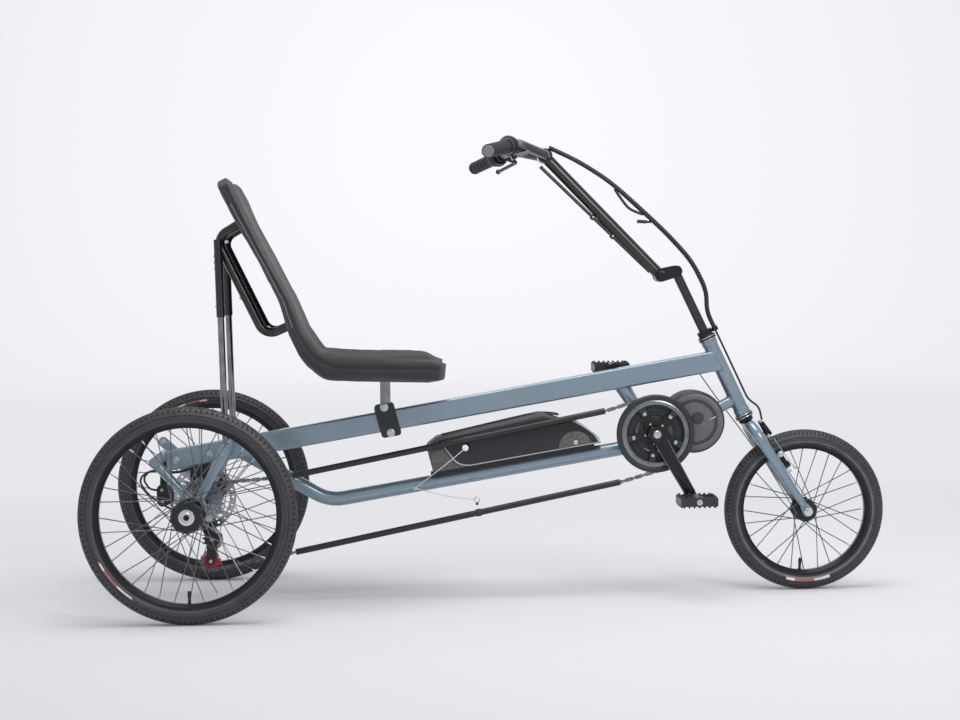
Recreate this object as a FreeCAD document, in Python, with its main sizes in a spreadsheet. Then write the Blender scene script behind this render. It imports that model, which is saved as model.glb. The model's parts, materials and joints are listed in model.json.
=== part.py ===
import FreeCAD, Part
import math
import os
from types import SimpleNamespace
import Sketcher
from FreeCAD import Placement, Rotation, Vector

# Recumbent delta trike with electric assist: one steered front wheel, two wheels behind, a
# frame of one long beam over one long tube, a tilting handlebar mast and a padded seat.
# +X is forward, +Y the rider's left, +Z up. The origin is on the ground, midway along and across.
# Stations (x) are counted forward from the rear axle, heights (z) from the ground, in mm.

SIZES = [
    # name, value in mm or degrees
    ("wheelbase", 1469.0),
    ("track", 700.0),
    ("weld_gap", 0.1),
    ("seat_gap", 0.3),
    ("running_clearance", 0.05),
    # main beam: a rounded rectangular tube that rises towards the head tube
    ("beam_depth", 50.0),
    ("beam_width", 40.0),
    ("beam_wall", 2.5),
    ("beam_corner", 6.0),
    ("beam_angle", 9.4),
    ("beam_height", 356.2),
    ("beam_tail", 82.0),
    ("tab_thickness", 5.0),
    ("tab_hole", 6.5),
    # head tube and steering
    ("head_angle", 65.0),
    ("trail", 54.6),
    ("head_tube_diameter", 36.0),
    ("head_tube_bore", 30.0),
    ("head_tube_foot", 434.2),
    ("head_tube_length", 198.6),
    ("cup_diameter", 44.0),
    ("cup_height", 12.0),
    ("race_diameter", 36.0),
    ("race_height", 8.0),
    ("bearing_gap", 0.6),
    # lower tube, its rising rear leg, bottom bracket and its post
    ("lower_tube_diameter", 34.9),
    ("tube_wall", 2.0),
    ("lower_tube_angle", 9.17),
    ("lower_bend_station", 308.0),
    ("lower_bend_height", 238.3),
    ("lower_bend_radius", 100.0),
    ("leg_angle", 30.5),
    ("bracket_station", 1097.9),
    ("bracket_height", 392.6),
    ("shell_diameter", 40.0),
    ("shell_bore", 35.0),
    ("shell_width", 68.0),
    ("post_diameter", 33.0),
    ("post_setback", 87.9),
    ("down_tube_diameter", 28.6),
    ("down_tube_height", 470.0),
    # rear subframe
    ("cross_tube_diameter", 25.4),
    ("cross_tube_bite", 1.5),
    ("front_cross_station", 70.0),
    ("front_cross_height", 379.0),
    ("rear_cross_height", 352.0),
    ("strut_offset", 160.0),
    ("strut_diameter", 24.0),
    ("strut_foot_diameter", 20.0),
    ("housing_diameter", 48.0),
    ("housing_width", 30.0),
    # axles
    ("rear_axle_diameter", 20.0),
    ("rear_axle_overhang", 34.0),
    ("axle_cap_diameter", 36.0),
    ("axle_cap_thickness", 5.0),
    ("front_axle_diameter", 10.0),
    ("front_nut_diameter", 22.0),
    ("front_nut_height", 10.0),
    # wheels
    ("rear_tyre_radius", 247.0),
    ("rear_tyre_section", 44.0),
    ("rear_rim_radius", 211.0),
    ("rear_rim_depth", 12.0),
    ("rear_rim_width", 30.0),
    ("rear_flange_diameter", 74.0),
    ("rear_flange_spacing", 56.0),
    ("rear_hub_diameter", 34.0),
    ("rear_collar_diameter", 48.0),
    ("rear_hub_length", 67.4),
    ("rear_spoke_count", 36.0),
    ("front_tyre_radius", 196.0),
    ("front_tyre_section", 43.0),
    ("front_rim_radius", 161.0),
    ("front_rim_depth", 12.0),
    ("front_rim_width", 28.0),
    ("front_flange_diameter", 56.0),
    ("front_flange_spacing", 50.0),
    ("front_hub_diameter", 30.0),
    ("front_collar_diameter", 24.0),
    ("front_hub_length", 80.0),
    ("front_spoke_count", 28.0),
    ("rim_bead", 5.0),
    ("rim_bed_width", 14.0),
    ("flange_thickness", 4.0),
    ("spoke_diameter", 2.4),
    ("spoke_seat", 0.2),
    ("spoke_hole_inset", 4.0),
    ("spoke_lean", 78.0),
    # chain drive
    ("chain_pitch", 12.7),
    ("chain_offset", 55.0),
    ("chain_plate_height", 8.6),
    ("chain_link_height", 5.4),
    ("chain_roller_radius", 3.85),
    ("chain_inner_gap", 3.2),
    ("chain_plate_thickness", 1.0),
    ("chain_width", 7.0),
    ("tooth_height", 2.6),
    ("tooth_tip_width", 1.8),
    ("tooth_clearance", 0.12),
    ("sprocket_thickness", 2.0),
    ("sprocket_spacing", 5.2),
    ("chainring_teeth", 44.0),
    ("sprocket_teeth", 20.0),
    ("pulley_teeth", 11.0),
    ("guide_pulley_station", 28.0),
    ("guide_pulley_drop", 91.0),
    ("tension_pulley_station", 24.5),
    ("tension_pulley_drop", 143.1),
    ("chain_tube_diameter", 15.0),
    ("chain_tube_bore", 12.4),
    ("guard_diameter", 189.0),
    ("guard_window", 138.0),
    ("guard_thickness", 3.0),
    ("bolt_circle", 130.0),
    ("rotor_diameter", 160.0),
    ("rotor_offset", 45.0),
    ("rotor_thickness", 2.0),
    # cranks and pedals
    ("crank_length", 175.0),
    ("crank_angle", 61.1),
    ("crank_offset", 84.0),
    ("crank_thickness", 14.0),
    ("spindle_diameter", 20.0),
    ("pedal_length", 88.0),
    ("pedal_width", 92.0),
    ("pedal_thickness", 20.0),
    ("pedal_offset", 158.0),
    ("pedal_axle_diameter", 9.0),
    # drive motor and battery
    ("motor_station", 1196.0),
    ("motor_height", 417.0),
    ("motor_diameter", 152.0),
    ("motor_width", 76.0),
    ("gearcase_thickness", 11.0),
    ("battery_width", 90.0),
    ("battery_edge", 9.0),
    ("battery_rail_width", 36.0),
    ("battery_rail_height", 8.5),
    # seat
    ("seat_width", 400.0),
    ("seat_corner", 46.0),
    ("seat_station", 300.0),
    ("seat_height", 540.0),
    ("pan_thickness", 4.0),
    ("pan_width", 300.0),
    ("seat_post_width", 25.0),
    ("clamp_station", 452.0),
    ("clamp_thickness", 5.0),
    ("clamp_bolt_diameter", 9.0),
    ("rail_diameter", 22.0),
    ("rail_spacing", 200.0),
    ("rail_bend_radius", 32.0),
    ("rail_bar_diameter", 18.0),
    ("stay_diameter", 16.0),
    ("stay_sleeve_diameter", 20.0),
    # fork and rim brake
    ("blade_spacing", 98.0),
    ("blade_top_diameter", 28.0),
    ("blade_tip_diameter", 17.0),
    ("crown_radius", 42.0),
    ("steerer_diameter", 28.6),
    ("dropout_thickness", 6.0),
    ("brake_boss_distance", 107.0),
    ("brake_arm_length", 131.0),
    ("brake_arm_diameter", 11.0),
    ("pad_radius", 151.0),
    # quill, mast and handlebar
    ("quill_diameter", 22.2),
    ("quill_top", 776.0),
    ("pivot_station", 1120.7),
    ("pivot_height", 774.1),
    ("pivot_bolt_diameter", 10.0),
    ("cheek_thickness", 6.0),
    ("mast_lug_width", 36.0),
    ("mast_diameter", 28.0),
    ("mast_top_station", 842.0),
    ("mast_top_height", 1066.0),
    ("bar_diameter", 22.2),
    ("bar_clamp_diameter", 36.0),
    ("bar_clamp_width", 46.0),
    ("bar_half_width", 370.0),
    ("bar_sweep", 154.0),
    ("bar_rise", 22.0),
    ("grip_diameter", 32.0),
    ("grip_length", 130.0),
    ("lever_reach", 44.0),
    ("lever_diameter", 9.0),
    # cables
    ("loom_diameter", 11.0),
    ("cable_diameter", 5.0),
    ("brake_standoff", 29.0),
    ("bar_bend_setback", 72.0),
    ("bar_bend_width", 150.0),
    ("bar_drop", 8.0),
]

doc = FreeCAD.newDocument("recumbent_trike")
sheet = doc.addObject("Spreadsheet::Sheet", "Sizes")
for line, (name, value) in enumerate(SIZES, start=1):
    sheet.set("A%d" % line, name)
    sheet.set("B%d" % line, str(value))
    sheet.setAlias("B%d" % line, name)
doc.recompute()
size = SimpleNamespace(**{name: float(sheet.get(name)) for name, value in SIZES})

RIGHT, LEFT = -1, 1
SIDES = (("right", RIGHT), ("left", LEFT))
UP = Vector(0, 0, 1)
SIDEWAYS = Vector(0, 1, 0)
THROUGH = 120.0  # length of a cutting tool that has to pass right through a small piece
subparts = []

# The overall length runs from the back of the rear tyres to the front of the front tyre.
rear_axle_x = -(size.wheelbase + size.front_tyre_radius - size.rear_tyre_radius) / 2
axle_height = size.rear_tyre_radius
half_track = size.track / 2


# ---------------------------------------------------------------- ways of making shapes
def at(station, side, height):
    return Vector(rear_axle_x + station, side, height)


def polar(centre, radius, angle):
    """A point in the trike's long plane, angle in radians from forward towards up."""
    return centre + Vector(radius * math.cos(angle), 0, radius * math.sin(angle))


def bind(thing, **expressions):
    """Sets properties: text is bound as an expression, a number is set."""
    for name, value in expressions.items():
        if isinstance(value, str):
            thing.setExpression(name, value)
        else:
            setattr(thing, name, value)
    return thing


def place(thing, origin, axis=UP):
    thing.Placement = Placement(origin, Rotation(UP, axis))
    return thing


def cylinder(name, origin, axis, radius, height):
    return place(bind(doc.addObject("Part::Cylinder", name), Radius=radius, Height=height), origin, axis)


def rod(name, start, end, radius):
    return cylinder(name, start, end - start, radius, (end - start).Length)


def across(name, station, height, radius, width, middle=0.0):
    """A round bar along Y, centred on the side offset called middle."""
    bar = cylinder(name, at(station, 0, height), SIDEWAYS, radius, width)
    doc.recompute()
    half = float(bar.Height) / 2
    bar.Placement = Placement(at(station, middle - half, height), Rotation(UP, SIDEWAYS))
    return bar


def tapered(name, start, end, start_radius, end_radius):
    cone = bind(doc.addObject("Part::Cone", name), Radius1=start_radius, Radius2=end_radius,
                Height=(end - start).Length)
    return place(cone, start, end - start)


def cut(name, base, *tools):
    for count, tool in enumerate(tools, start=1):
        step = doc.addObject("Part::Cut", name if count == len(tools) else "%s_step%d" % (name, count))
        step.Base = base
        step.Tool = tool
        base = step
    return base


def common(name, base, tool):
    shared = doc.addObject("Part::Common", name)
    shared.Base = base
    shared.Tool = tool
    return shared


def fuse(name, *pieces):
    whole = doc.addObject("Part::MultiFuse", name)
    whole.Shapes = list(pieces)
    return whole


def group(name, *pieces):
    whole = doc.addObject("Part::Compound", name)
    whole.Links = list(pieces)
    return whole


def rounded(name, base, radius, chosen):
    """Rounds the edges of base for which chosen(edge) is true."""
    doc.recompute()
    fillet = doc.addObject("Part::Fillet", name)
    fillet.Base = base
    fillet.Edges = [(n, radius, radius) for n, edge in enumerate(base.Shape.Edges, start=1) if chosen(edge)]
    return fillet


def keep(thing, label):
    thing.Label = label
    subparts.append(thing)
    return thing


def facing_left(wire):
    """A face in a plane of constant Y that faces the rider's left."""
    face = Part.Face(wire)
    if face.normalAt(0, 0).y < 0:
        face = Part.Face(wire.reversed())
        if face.normalAt(0, 0).y < 0:
            face.reverse()
    return face


def profile(name, wire):
    face = doc.addObject("Part::Feature", name)
    face.Shape = facing_left(wire)
    return face


def corner_arc(before, corner, after, radius):
    """Start, middle and end of the arc of that radius which rounds a corner."""
    back = (before - corner).normalize()
    ahead = (after - corner).normalize()
    half_turn = (math.pi - back.getAngle(ahead)) / 2
    reach = radius * math.tan(half_turn)
    middle = (back + ahead).normalize()
    crest = corner + middle * (radius / math.cos(half_turn) - radius)
    return corner + back * reach, crest, corner + ahead * reach


def outline(name, corners):
    """A closed outline from corners of (point, radius), in the plane of its points."""
    points = [point for point, radius in corners]
    edges = []
    arcs = []
    for n, (corner, radius) in enumerate(corners):
        if radius:
            arcs.append(corner_arc(points[n - 1], corner, points[(n + 1) % len(points)], radius))
        else:
            arcs.append((corner, None, corner))
    for n, (start, crest, end) in enumerate(arcs):
        if crest:
            edges.append(Part.Arc(start, crest, end).toShape())
        following = arcs[(n + 1) % len(arcs)][0]
        if end.distanceToPoint(following) > size.weld_gap / 10:
            edges.append(Part.LineSegment(end, following).toShape())
    return profile(name, Part.Wire(edges))


def slab(name, face, width, middle=0.0):
    """A face in the trike's long plane thickened evenly to both sides of the offset called middle."""
    body = doc.addObject("Part::Extrusion", name)
    body.Base = face
    body.DirMode = "Custom"
    body.Dir = SIDEWAYS
    body.Solid = True
    body.Symmetric = True
    bind(body, LengthFwd=width)
    body.Placement = Placement(Vector(0, middle, 0), Rotation())
    return body


CLOCKWISE, COUNTER = -1, 1


def belt(turns, shift=0.0):
    """Edges of a closed loop over round guides (station, height, radius, turn), moved aside by shift."""
    joins = []
    for (x0, z0, r0, s0), (x1, z1, r1, s1) in zip(turns, turns[1:] + turns[:1]):
        gap = math.hypot(x1 - x0, z1 - z0)
        heading = math.atan2(z1 - z0, x1 - x0) - math.asin((s1 * r1 - s0 * r0) / gap)
        side = Vector(-math.sin(heading), 0, math.cos(heading))
        joins.append((at(x0, 0, z0) - side * (s0 * r0 - shift), at(x1, 0, z1) - side * (s1 * r1 - shift), heading))
    edges = []
    for n, (start, end, heading) in enumerate(joins):
        edges.append(Part.LineSegment(start, end).toShape())
        x, z, radius, turn = turns[(n + 1) % len(turns)]
        next_start, next_end, after = joins[(n + 1) % len(joins)]
        swing = (after - heading) % (2 * math.pi) if turn > 0 else -((heading - after) % (2 * math.pi))
        middle = heading + swing / 2
        side = Vector(-math.sin(middle), 0, math.cos(middle))
        edges.append(Part.Arc(end, at(x, 0, z) - side * (turn * radius - shift), next_start).toShape())
    return edges


def strap(name, circles, width, middle=0.0):
    """A flat plate whose outline runs round circles of (station, height, radius), given clockwise."""
    turns = [circle + (CLOCKWISE,) for circle in circles]
    return slab(name, profile(name + "_outline", Part.Wire(belt(turns))), width, middle)


def bent_path(points, radii):
    """Straight runs joined by tangent arcs: one radius for each point between the ends."""
    edges = []
    start = points[0]
    for before, corner, after, radius in zip(points, points[1:], points[2:], radii):
        arc_start, crest, arc_end = corner_arc(before, corner, after, radius)
        edges.append(Part.LineSegment(start, arc_start).toShape())
        edges.append(Part.Arc(arc_start, crest, arc_end).toShape())
        start = arc_end
    edges.append(Part.LineSegment(start, points[-1]).toShape())
    return Part.Wire(edges)


def bent_rod(name, points, radii, radius):
    """A round section swept along a bent path."""
    path = doc.addObject("Part::Feature", name + "_path")
    path.Shape = bent_path(points, radii)
    section = bind(doc.addObject("Part::Circle", name + "_section"), Radius=radius)
    place(section, points[0], points[1] - points[0])
    sweep = doc.addObject("Part::Sweep", name)
    sweep.Sections = [section]
    sweep.Spine = (path, ["Edge%d" % (n + 1) for n in range(len(path.Shape.Edges))])
    sweep.Solid = True
    sweep.Frenet = False
    return sweep


def widest_radii(points, share=0.45):
    """For each point between the ends, an arc that takes up this share of its shorter run."""
    radii = []
    for before, corner, after in zip(points, points[1:], points[2:]):
        turn = (corner - before).getAngle(after - corner)
        radii.append(share * min((corner - before).Length, (after - corner).Length) / math.tan(turn / 2))
    return radii


def origin_plane(body, role):
    return next(plane for plane in body.Origin.OriginFeatures if plane.Role == role)


def turned(name, origin, axis, section):
    """A lathe form: corners of (radius, offset along the axis), each an expression on the sheet."""
    values = [[float(sheet.evalExpression(text)) for text in corner] for corner in section]
    count = len(section)
    body = doc.addObject("PartDesign::Body", name)
    sketch = body.newObject("Sketcher::SketchObject", name + "_sketch")
    sketch.AttachmentSupport = [(origin_plane(body, "XZ_Plane"), "")]
    sketch.MapMode = "FlatFace"
    for n in range(count):
        start = Vector(*values[n], 0)
        end = Vector(*values[(n + 1) % count], 0)
        sketch.addGeometry(Part.LineSegment(start, end), False)
    sketch.addConstraint([Sketcher.Constraint("Coincident", n, 2, (n + 1) % count, 1) for n in range(count)])
    for n in range(count):
        for kind, value, text in zip(("DistanceX", "DistanceY"), values[n], section[n]):
            index = sketch.addConstraint(Sketcher.Constraint(kind, -1, 1, n, 1, value))
            sketch.setExpression("Constraints[%d]" % index, text)
    lathe = body.newObject("PartDesign::Revolution", name + "_turned")
    lathe.Profile = sketch
    lathe.ReferenceAxis = (sketch, ["V_Axis"])
    lathe.Angle = 360.0
    return place(body, origin, axis)


# Main beam: a point on its axis by station, raised by a distance square to the beam.
beam_slope = math.tan(math.radians(size.beam_angle))
beam_along = Vector(1, 0, beam_slope).normalize()
beam_square = Vector(-beam_along.z, 0, beam_along.x)
beam_turn = Rotation(SIDEWAYS, -size.beam_angle)
beam_half = size.beam_depth / 2


def on_beam(station, raised=0.0, side=0.0):
    return at(station, side, size.beam_height + station * beam_slope) + beam_square * raised


def station_of(point):
    return point.x - rear_axle_x


# Steering axis: a point on it by height.
head_lean = math.radians(size.head_angle)
steer_up = Vector(-math.cos(head_lean), 0, math.sin(head_lean))
steer_front = Vector(steer_up.z, 0, -steer_up.x)


def on_steering(height):
    return at(size.wheelbase + size.trail - height / math.tan(head_lean), 0, height)


# Lower tube: a point on its axis by station.
lower_slope = math.tan(math.radians(size.lower_tube_angle))
lower_along = Vector(1, 0, lower_slope).normalize()
lower_square = Vector(-lower_along.z, 0, lower_along.x)


def on_lower(station, raised=0.0):
    height = size.lower_bend_height + (station - size.lower_bend_station) * lower_slope
    return at(station, 0, height) + lower_square * raised


def block(name, corner, turn, length, width, height):
    """A box set out from one corner, its width centred on the trike's long plane."""
    box = bind(doc.addObject("Part::Box", name), Length=length, Width=width, Height=height)
    doc.recompute()
    box.Placement = Placement(corner - SIDEWAYS * (float(box.Width) / 2), turn)
    return box


# ---------------------------------------------------------------- head tube and headset cups
head_foot = on_steering(size.head_tube_foot)
head_top = head_foot + steer_up * size.head_tube_length
keep(turned("head_tube_lathe", head_foot, steer_up, [
    ("Sizes.head_tube_bore / 2", "0"), ("Sizes.head_tube_diameter / 2 + 1.5", "0"),
    ("Sizes.head_tube_diameter / 2 + 1.5", "Sizes.cup_height"), ("Sizes.head_tube_diameter / 2", "Sizes.cup_height + 3"),
    ("Sizes.head_tube_diameter / 2", "Sizes.head_tube_length - Sizes.cup_height - 3"),
    ("Sizes.head_tube_diameter / 2 + 1.5", "Sizes.head_tube_length - Sizes.cup_height"),
    ("Sizes.head_tube_diameter / 2 + 1.5", "Sizes.head_tube_length"),
    ("Sizes.head_tube_bore / 2", "Sizes.head_tube_length")]), "head_tube")
CUP = [("Sizes.head_tube_bore / 2", "0"), ("Sizes.head_tube_diameter / 2 + 2", "0"),
       ("Sizes.cup_diameter / 2", "Sizes.cup_height / 3"), ("Sizes.cup_diameter / 2", "Sizes.cup_height - 1.5"),
       ("Sizes.cup_diameter / 2 - 1.5", "Sizes.cup_height"), ("Sizes.head_tube_bore / 2", "Sizes.cup_height")]
keep(group("cups",
           turned("lower_cup", head_foot - steer_up * size.weld_gap, steer_up * -1, CUP),
           turned("upper_cup", head_top + steer_up * size.weld_gap, steer_up, CUP)), "headset_cups")

# ---------------------------------------------------------------- main beam with the rack tab
beam_start = on_beam(-size.beam_tail)
beam_length = (head_top.x - beam_start.x) / beam_along.x + size.cup_diameter
rear_cross_station = -size.beam_tail - size.cross_tube_diameter / 2 + size.cross_tube_bite
CROSS_TUBES = (("front", size.front_cross_station, size.front_cross_height),
               ("rear", rear_cross_station, size.rear_cross_height))


def beam_box(name, inset, corner):
    depth = "Sizes.beam_depth - 2 * %s" % inset
    box = block(name, beam_start, beam_turn, beam_length, "Sizes.beam_width - 2 * %s" % inset, depth)
    box.Placement.Base -= beam_square * (float(box.Height) / 2)
    return rounded(name + "_rounded", box, corner,
                   lambda edge: abs(edge.tangentAt(0).dot(beam_along)) > 0.999)


def weld_cope(name, start, end, radius):
    """A cutting tool one weld gap larger than the round bar that passes there."""
    return rod(name, start, end, "%s + Sizes.weld_gap" % radius)


# The beam stops against the head tube: the second cutter takes away all that lies in front of it.
reach = steer_up * size.cup_diameter
head_cope = weld_cope("head_cope", head_foot - reach, head_top + reach, "Sizes.head_tube_diameter / 2")
past_head = steer_front * size.cup_diameter * 2
front_trim = rod("front_trim", head_foot - reach + past_head, head_top + reach * 2 + past_head, "Sizes.cup_diameter * 2")
cross_holes = [across(name + "_cross_hole", station, height, "Sizes.cross_tube_diameter / 2 + Sizes.weld_gap",
                      "Sizes.beam_width * 2") for name, station, height in CROSS_TUBES]
beam = cut("beam_tube", beam_box("beam_outer", "0", size.beam_corner),
           beam_box("beam_inner", "Sizes.beam_wall", size.beam_corner - size.beam_wall),
           head_cope, front_trim, *cross_holes)
# The tab for a luggage rack stands on the tail, with its bolt hole above the rear cross tube.
tab_back = on_beam(-size.beam_tail + 8.0, beam_half)
tab_front = on_beam(-size.beam_tail + 26.0, beam_half)
tab_eye = at(rear_cross_station + 3.2, 0, size.rear_cross_height + 36.0)
tab = strap("tab_plate", [(station_of(tab_back), tab_back.z, 4.0), (station_of(tab_eye), tab_eye.z, 12.0),
                          (station_of(tab_front), tab_front.z, 4.0)], "Sizes.tab_thickness")
tab_hole = across("tab_hole_cutter", station_of(tab_eye), tab_eye.z, "Sizes.tab_hole / 2", "Sizes.beam_width")
keep(cut("beam_with_tab", fuse("beam_and_tab", beam, tab), tab_hole), "main_beam")

# ---------------------------------------------------------------- lower tube and bottom bracket
bracket = at(size.bracket_station, 0, size.bracket_height)
leg = math.radians(180 - size.leg_angle)
lower_corner = at(size.lower_bend_station, 0, size.lower_bend_height)
leg_end = polar(lower_corner, size.lower_bend_radius * 3, leg)
lower_points = [on_lower(size.bracket_station), lower_corner, leg_end]
lower_outer = bent_rod("lower_outer", lower_points, [size.lower_bend_radius], "Sizes.lower_tube_diameter / 2")
lower_inner = bent_rod("lower_inner", lower_points, [size.lower_bend_radius],
                       "Sizes.lower_tube_diameter / 2 - Sizes.tube_wall")
above_floor = block("above_beam_floor", on_beam(-size.beam_tail, -beam_half - size.weld_gap), beam_turn,
                    size.lower_bend_radius * 5, "Sizes.lower_tube_diameter * 2", size.lower_bend_radius * 2)
shell_cope = across("shell_cope", size.bracket_station, size.bracket_height,
                    "Sizes.shell_diameter / 2 + Sizes.weld_gap", THROUGH)
keep(cut("lower_tube_solid", lower_outer, lower_inner, above_floor, shell_cope), "lower_tube")

keep(turned("shell_lathe", bracket - SIDEWAYS * (size.shell_width / 2), SIDEWAYS, [
    ("Sizes.shell_bore / 2", "0"), ("Sizes.shell_diameter / 2", "0"),
    ("Sizes.shell_diameter / 2", "Sizes.shell_width"), ("Sizes.shell_bore / 2", "Sizes.shell_width")]),
     "bracket_shell")

post_foot_station = size.bracket_station - size.post_setback
post_foot = on_beam(post_foot_station)
below_roof = block("below_beam_roof", on_beam(post_foot_station - size.beam_depth * 3, -beam_half - size.weld_gap),
                   beam_turn, size.beam_depth * 6, "Sizes.post_diameter * 2", size.beam_depth * 3)
post = rod("post_outer", post_foot, bracket, "Sizes.post_diameter / 2")
post_bore = rod("post_bore", post_foot, bracket, "Sizes.post_diameter / 2 - Sizes.tube_wall")
lower_cope = weld_cope("lower_cope", on_lower(size.bracket_station - size.post_setback * 2),
                       on_lower(size.bracket_station + size.shell_diameter), "Sizes.lower_tube_diameter / 2")
keep(cut("post_solid", post, post_bore, below_roof, shell_cope, lower_cope), "bracket_post")

# ---------------------------------------------------------------- motor and the stub that carries it
# The can has a stepped and ribbed cover on each side, and its gearcase reaches back over the shell.
motor_centre = at(size.motor_station, 0, size.motor_height)
COVER_RING = (("Sizes.motor_diameter / 2 - 22", 2.5), ("Sizes.motor_diameter / 2 - 34", 0.0),
              ("Sizes.motor_diameter / 2 - 40", 2.5), ("Sizes.motor_diameter / 2 - 56", 4.0))
can_section = [("0", "0")]
for radius, rise in reversed(COVER_RING):
    can_section += [(radius, "%g" % (4.0 - rise)), (radius + " + 6", "%g" % (4.0 - rise))]
can_section += [("Sizes.motor_diameter / 2 - 8", "6"), ("Sizes.motor_diameter / 2", "14"),
                ("Sizes.motor_diameter / 2", "Sizes.motor_width - 14"),
                ("Sizes.motor_diameter / 2 - 8", "Sizes.motor_width - 6")]
for radius, rise in COVER_RING:
    can_section += [(radius + " + 6", "Sizes.motor_width - %g" % (4.0 - rise)),
                    (radius, "Sizes.motor_width - %g" % (4.0 - rise))]
can_section.append(("0", "Sizes.motor_width"))
motor_can = turned("motor_can", motor_centre - SIDEWAYS * (size.motor_width / 2), SIDEWAYS, can_section)
gearcase_middle = -size.shell_width / 2 - size.gearcase_thickness / 2 - size.seat_gap
gearcase = strap("gearcase", [(size.bracket_station, size.bracket_height, 43.0),
                              (size.motor_station, size.motor_height, size.motor_diameter / 2 - 6.0)],
                 "Sizes.gearcase_thickness", gearcase_middle)
gearcase_bore = across("gearcase_bore", size.bracket_station, size.bracket_height, "Sizes.shell_bore / 2", THROUGH)
shell_room = across("shell_room", size.bracket_station, size.bracket_height,
                    "Sizes.shell_diameter / 2 + Sizes.seat_gap", "Sizes.shell_width + 2 * Sizes.seat_gap")
keep(cut("motor_solid", fuse("motor_rough", motor_can, gearcase), gearcase_bore, shell_room), "motor")

stub = rod("stub_outer", motor_centre, on_steering(size.down_tube_height), "Sizes.down_tube_diameter / 2")
motor_cope = across("motor_cope", size.motor_station, size.motor_height,
                    "Sizes.motor_diameter / 2 + Sizes.seat_gap", "Sizes.motor_width * 2")
keep(cut("stub_solid", stub, motor_cope, head_cope), "down_tube")

# ---------------------------------------------------------------- rear subframe
keep(group("cross_tube_pair", *[across(name + "_cross_tube", station, height, "Sizes.cross_tube_diameter / 2",
                                       "2 * Sizes.strut_offset + Sizes.strut_diameter")
                                for name, station, height in CROSS_TUBES]), "rear_cross_tubes")

for name, side in SIDES:
    offset = side * size.strut_offset
    hub_point = at(0, offset, axle_height)
    struts = [tapered("%s_%s_strut" % (name, which), at(station, offset, height), hub_point,
                      "Sizes.strut_diameter / 2", "Sizes.strut_foot_diameter / 2")
              for which, station, height in CROSS_TUBES]
    housing = across(name + "_housing", 0, axle_height, "Sizes.housing_diameter / 2", "Sizes.housing_width", offset)
    bore = across(name + "_housing_bore", 0, axle_height,
                  "Sizes.rear_axle_diameter / 2 + Sizes.running_clearance", "Sizes.housing_width * 2", offset)
    copes = [across("%s_%s_cope" % (name, which), station, height,
                    "Sizes.cross_tube_diameter / 2 + Sizes.weld_gap", "Sizes.strut_diameter * 2", offset)
             for which, station, height in CROSS_TUBES]
    keep(cut(name + "_strut_frame", fuse(name + "_strut_rough", housing, *struts), bore, *copes),
         "rear_struts_" + name)


# ---------------------------------------------------------------- wheels
def tyre_ring(name, end):
    """A round section cut flat where it sits on the rim, turned about the wheel's axle."""
    middle = getattr(size, end + "_tyre_radius") - getattr(size, end + "_tyre_section") / 2
    round_radius = getattr(size, end + "_tyre_section") / 2
    seat = getattr(size, end + "_rim_radius") + size.spoke_seat
    half = math.sqrt(round_radius ** 2 - (middle - seat) ** 2)
    start = math.atan2(-half, seat - middle)
    body = doc.addObject("PartDesign::Body", name + "_carcass")
    sketch = body.newObject("Sketcher::SketchObject", name + "_section")
    sketch.AttachmentSupport = [(origin_plane(body, "XZ_Plane"), "")]
    sketch.MapMode = "FlatFace"
    circle = Part.Circle(Vector(middle, 0, 0), UP, round_radius)
    sketch.addGeometry(Part.ArcOfCircle(circle, start, -start), False)
    sketch.addGeometry(Part.LineSegment(Vector(seat, half, 0), Vector(seat, -half, 0)), False)
    sketch.addConstraint([
        Sketcher.Constraint("Coincident", 0, 2, 1, 1),
        Sketcher.Constraint("Coincident", 1, 2, 0, 1),
        Sketcher.Constraint("Vertical", 1),
        Sketcher.Constraint("PointOnObject", 0, 3, -1),
        Sketcher.Constraint("DistanceX", -1, 1, 0, 3, middle),
        Sketcher.Constraint("Radius", 0, round_radius),
        Sketcher.Constraint("DistanceX", -1, 1, 1, 1, seat)])
    bind(sketch, **{"Constraints[4]": "Sizes.%s_tyre_radius - Sizes.%s_tyre_section / 2" % (end, end),
                    "Constraints[5]": "Sizes.%s_tyre_section / 2" % end,
                    "Constraints[6]": "Sizes.%s_rim_radius + Sizes.spoke_seat" % end})
    lathe = body.newObject("PartDesign::Revolution", name + "_tyre_turned")
    lathe.Profile = sketch
    lathe.ReferenceAxis = (sketch, ["V_Axis"])
    lathe.Angle = 360.0
    return body


def rim_section(end):
    """Upright bead walls over a narrower spoke bed, sloped between."""
    outer = "Sizes.%s_rim_radius" % end
    bed = "Sizes.%s_rim_radius - Sizes.%s_rim_depth" % (end, end)
    wall = "Sizes.%s_rim_width / 2" % end
    return [(outer, "-" + wall), (outer, wall), (outer + " - Sizes.rim_bead", wall), (bed, "Sizes.rim_bed_width / 2"),
            (bed, "-Sizes.rim_bed_width / 2"), (outer + " - Sizes.rim_bead", "-" + wall)]


def hub_section(end):
    """Barrel, two flanges and a collar outside each flange, round the axle's bore."""
    bore = "Sizes.%s_axle_diameter / 2 + Sizes.running_clearance" % end
    barrel = "Sizes.%s_hub_diameter / 2" % end
    collar = "Sizes.%s_collar_diameter / 2" % end
    flange = "Sizes.%s_flange_diameter / 2" % end
    inside = "(Sizes.%s_flange_spacing - Sizes.flange_thickness) / 2" % end
    outside = "(Sizes.%s_flange_spacing + Sizes.flange_thickness) / 2" % end
    tip = "Sizes.%s_hub_length / 2" % end
    half = [(barrel, inside), (flange, inside), (flange, outside), (collar, outside), (collar, tip), (bore, tip)]
    return [(radius, "-(%s)" % offset) for radius, offset in reversed(half)] + half


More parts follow.
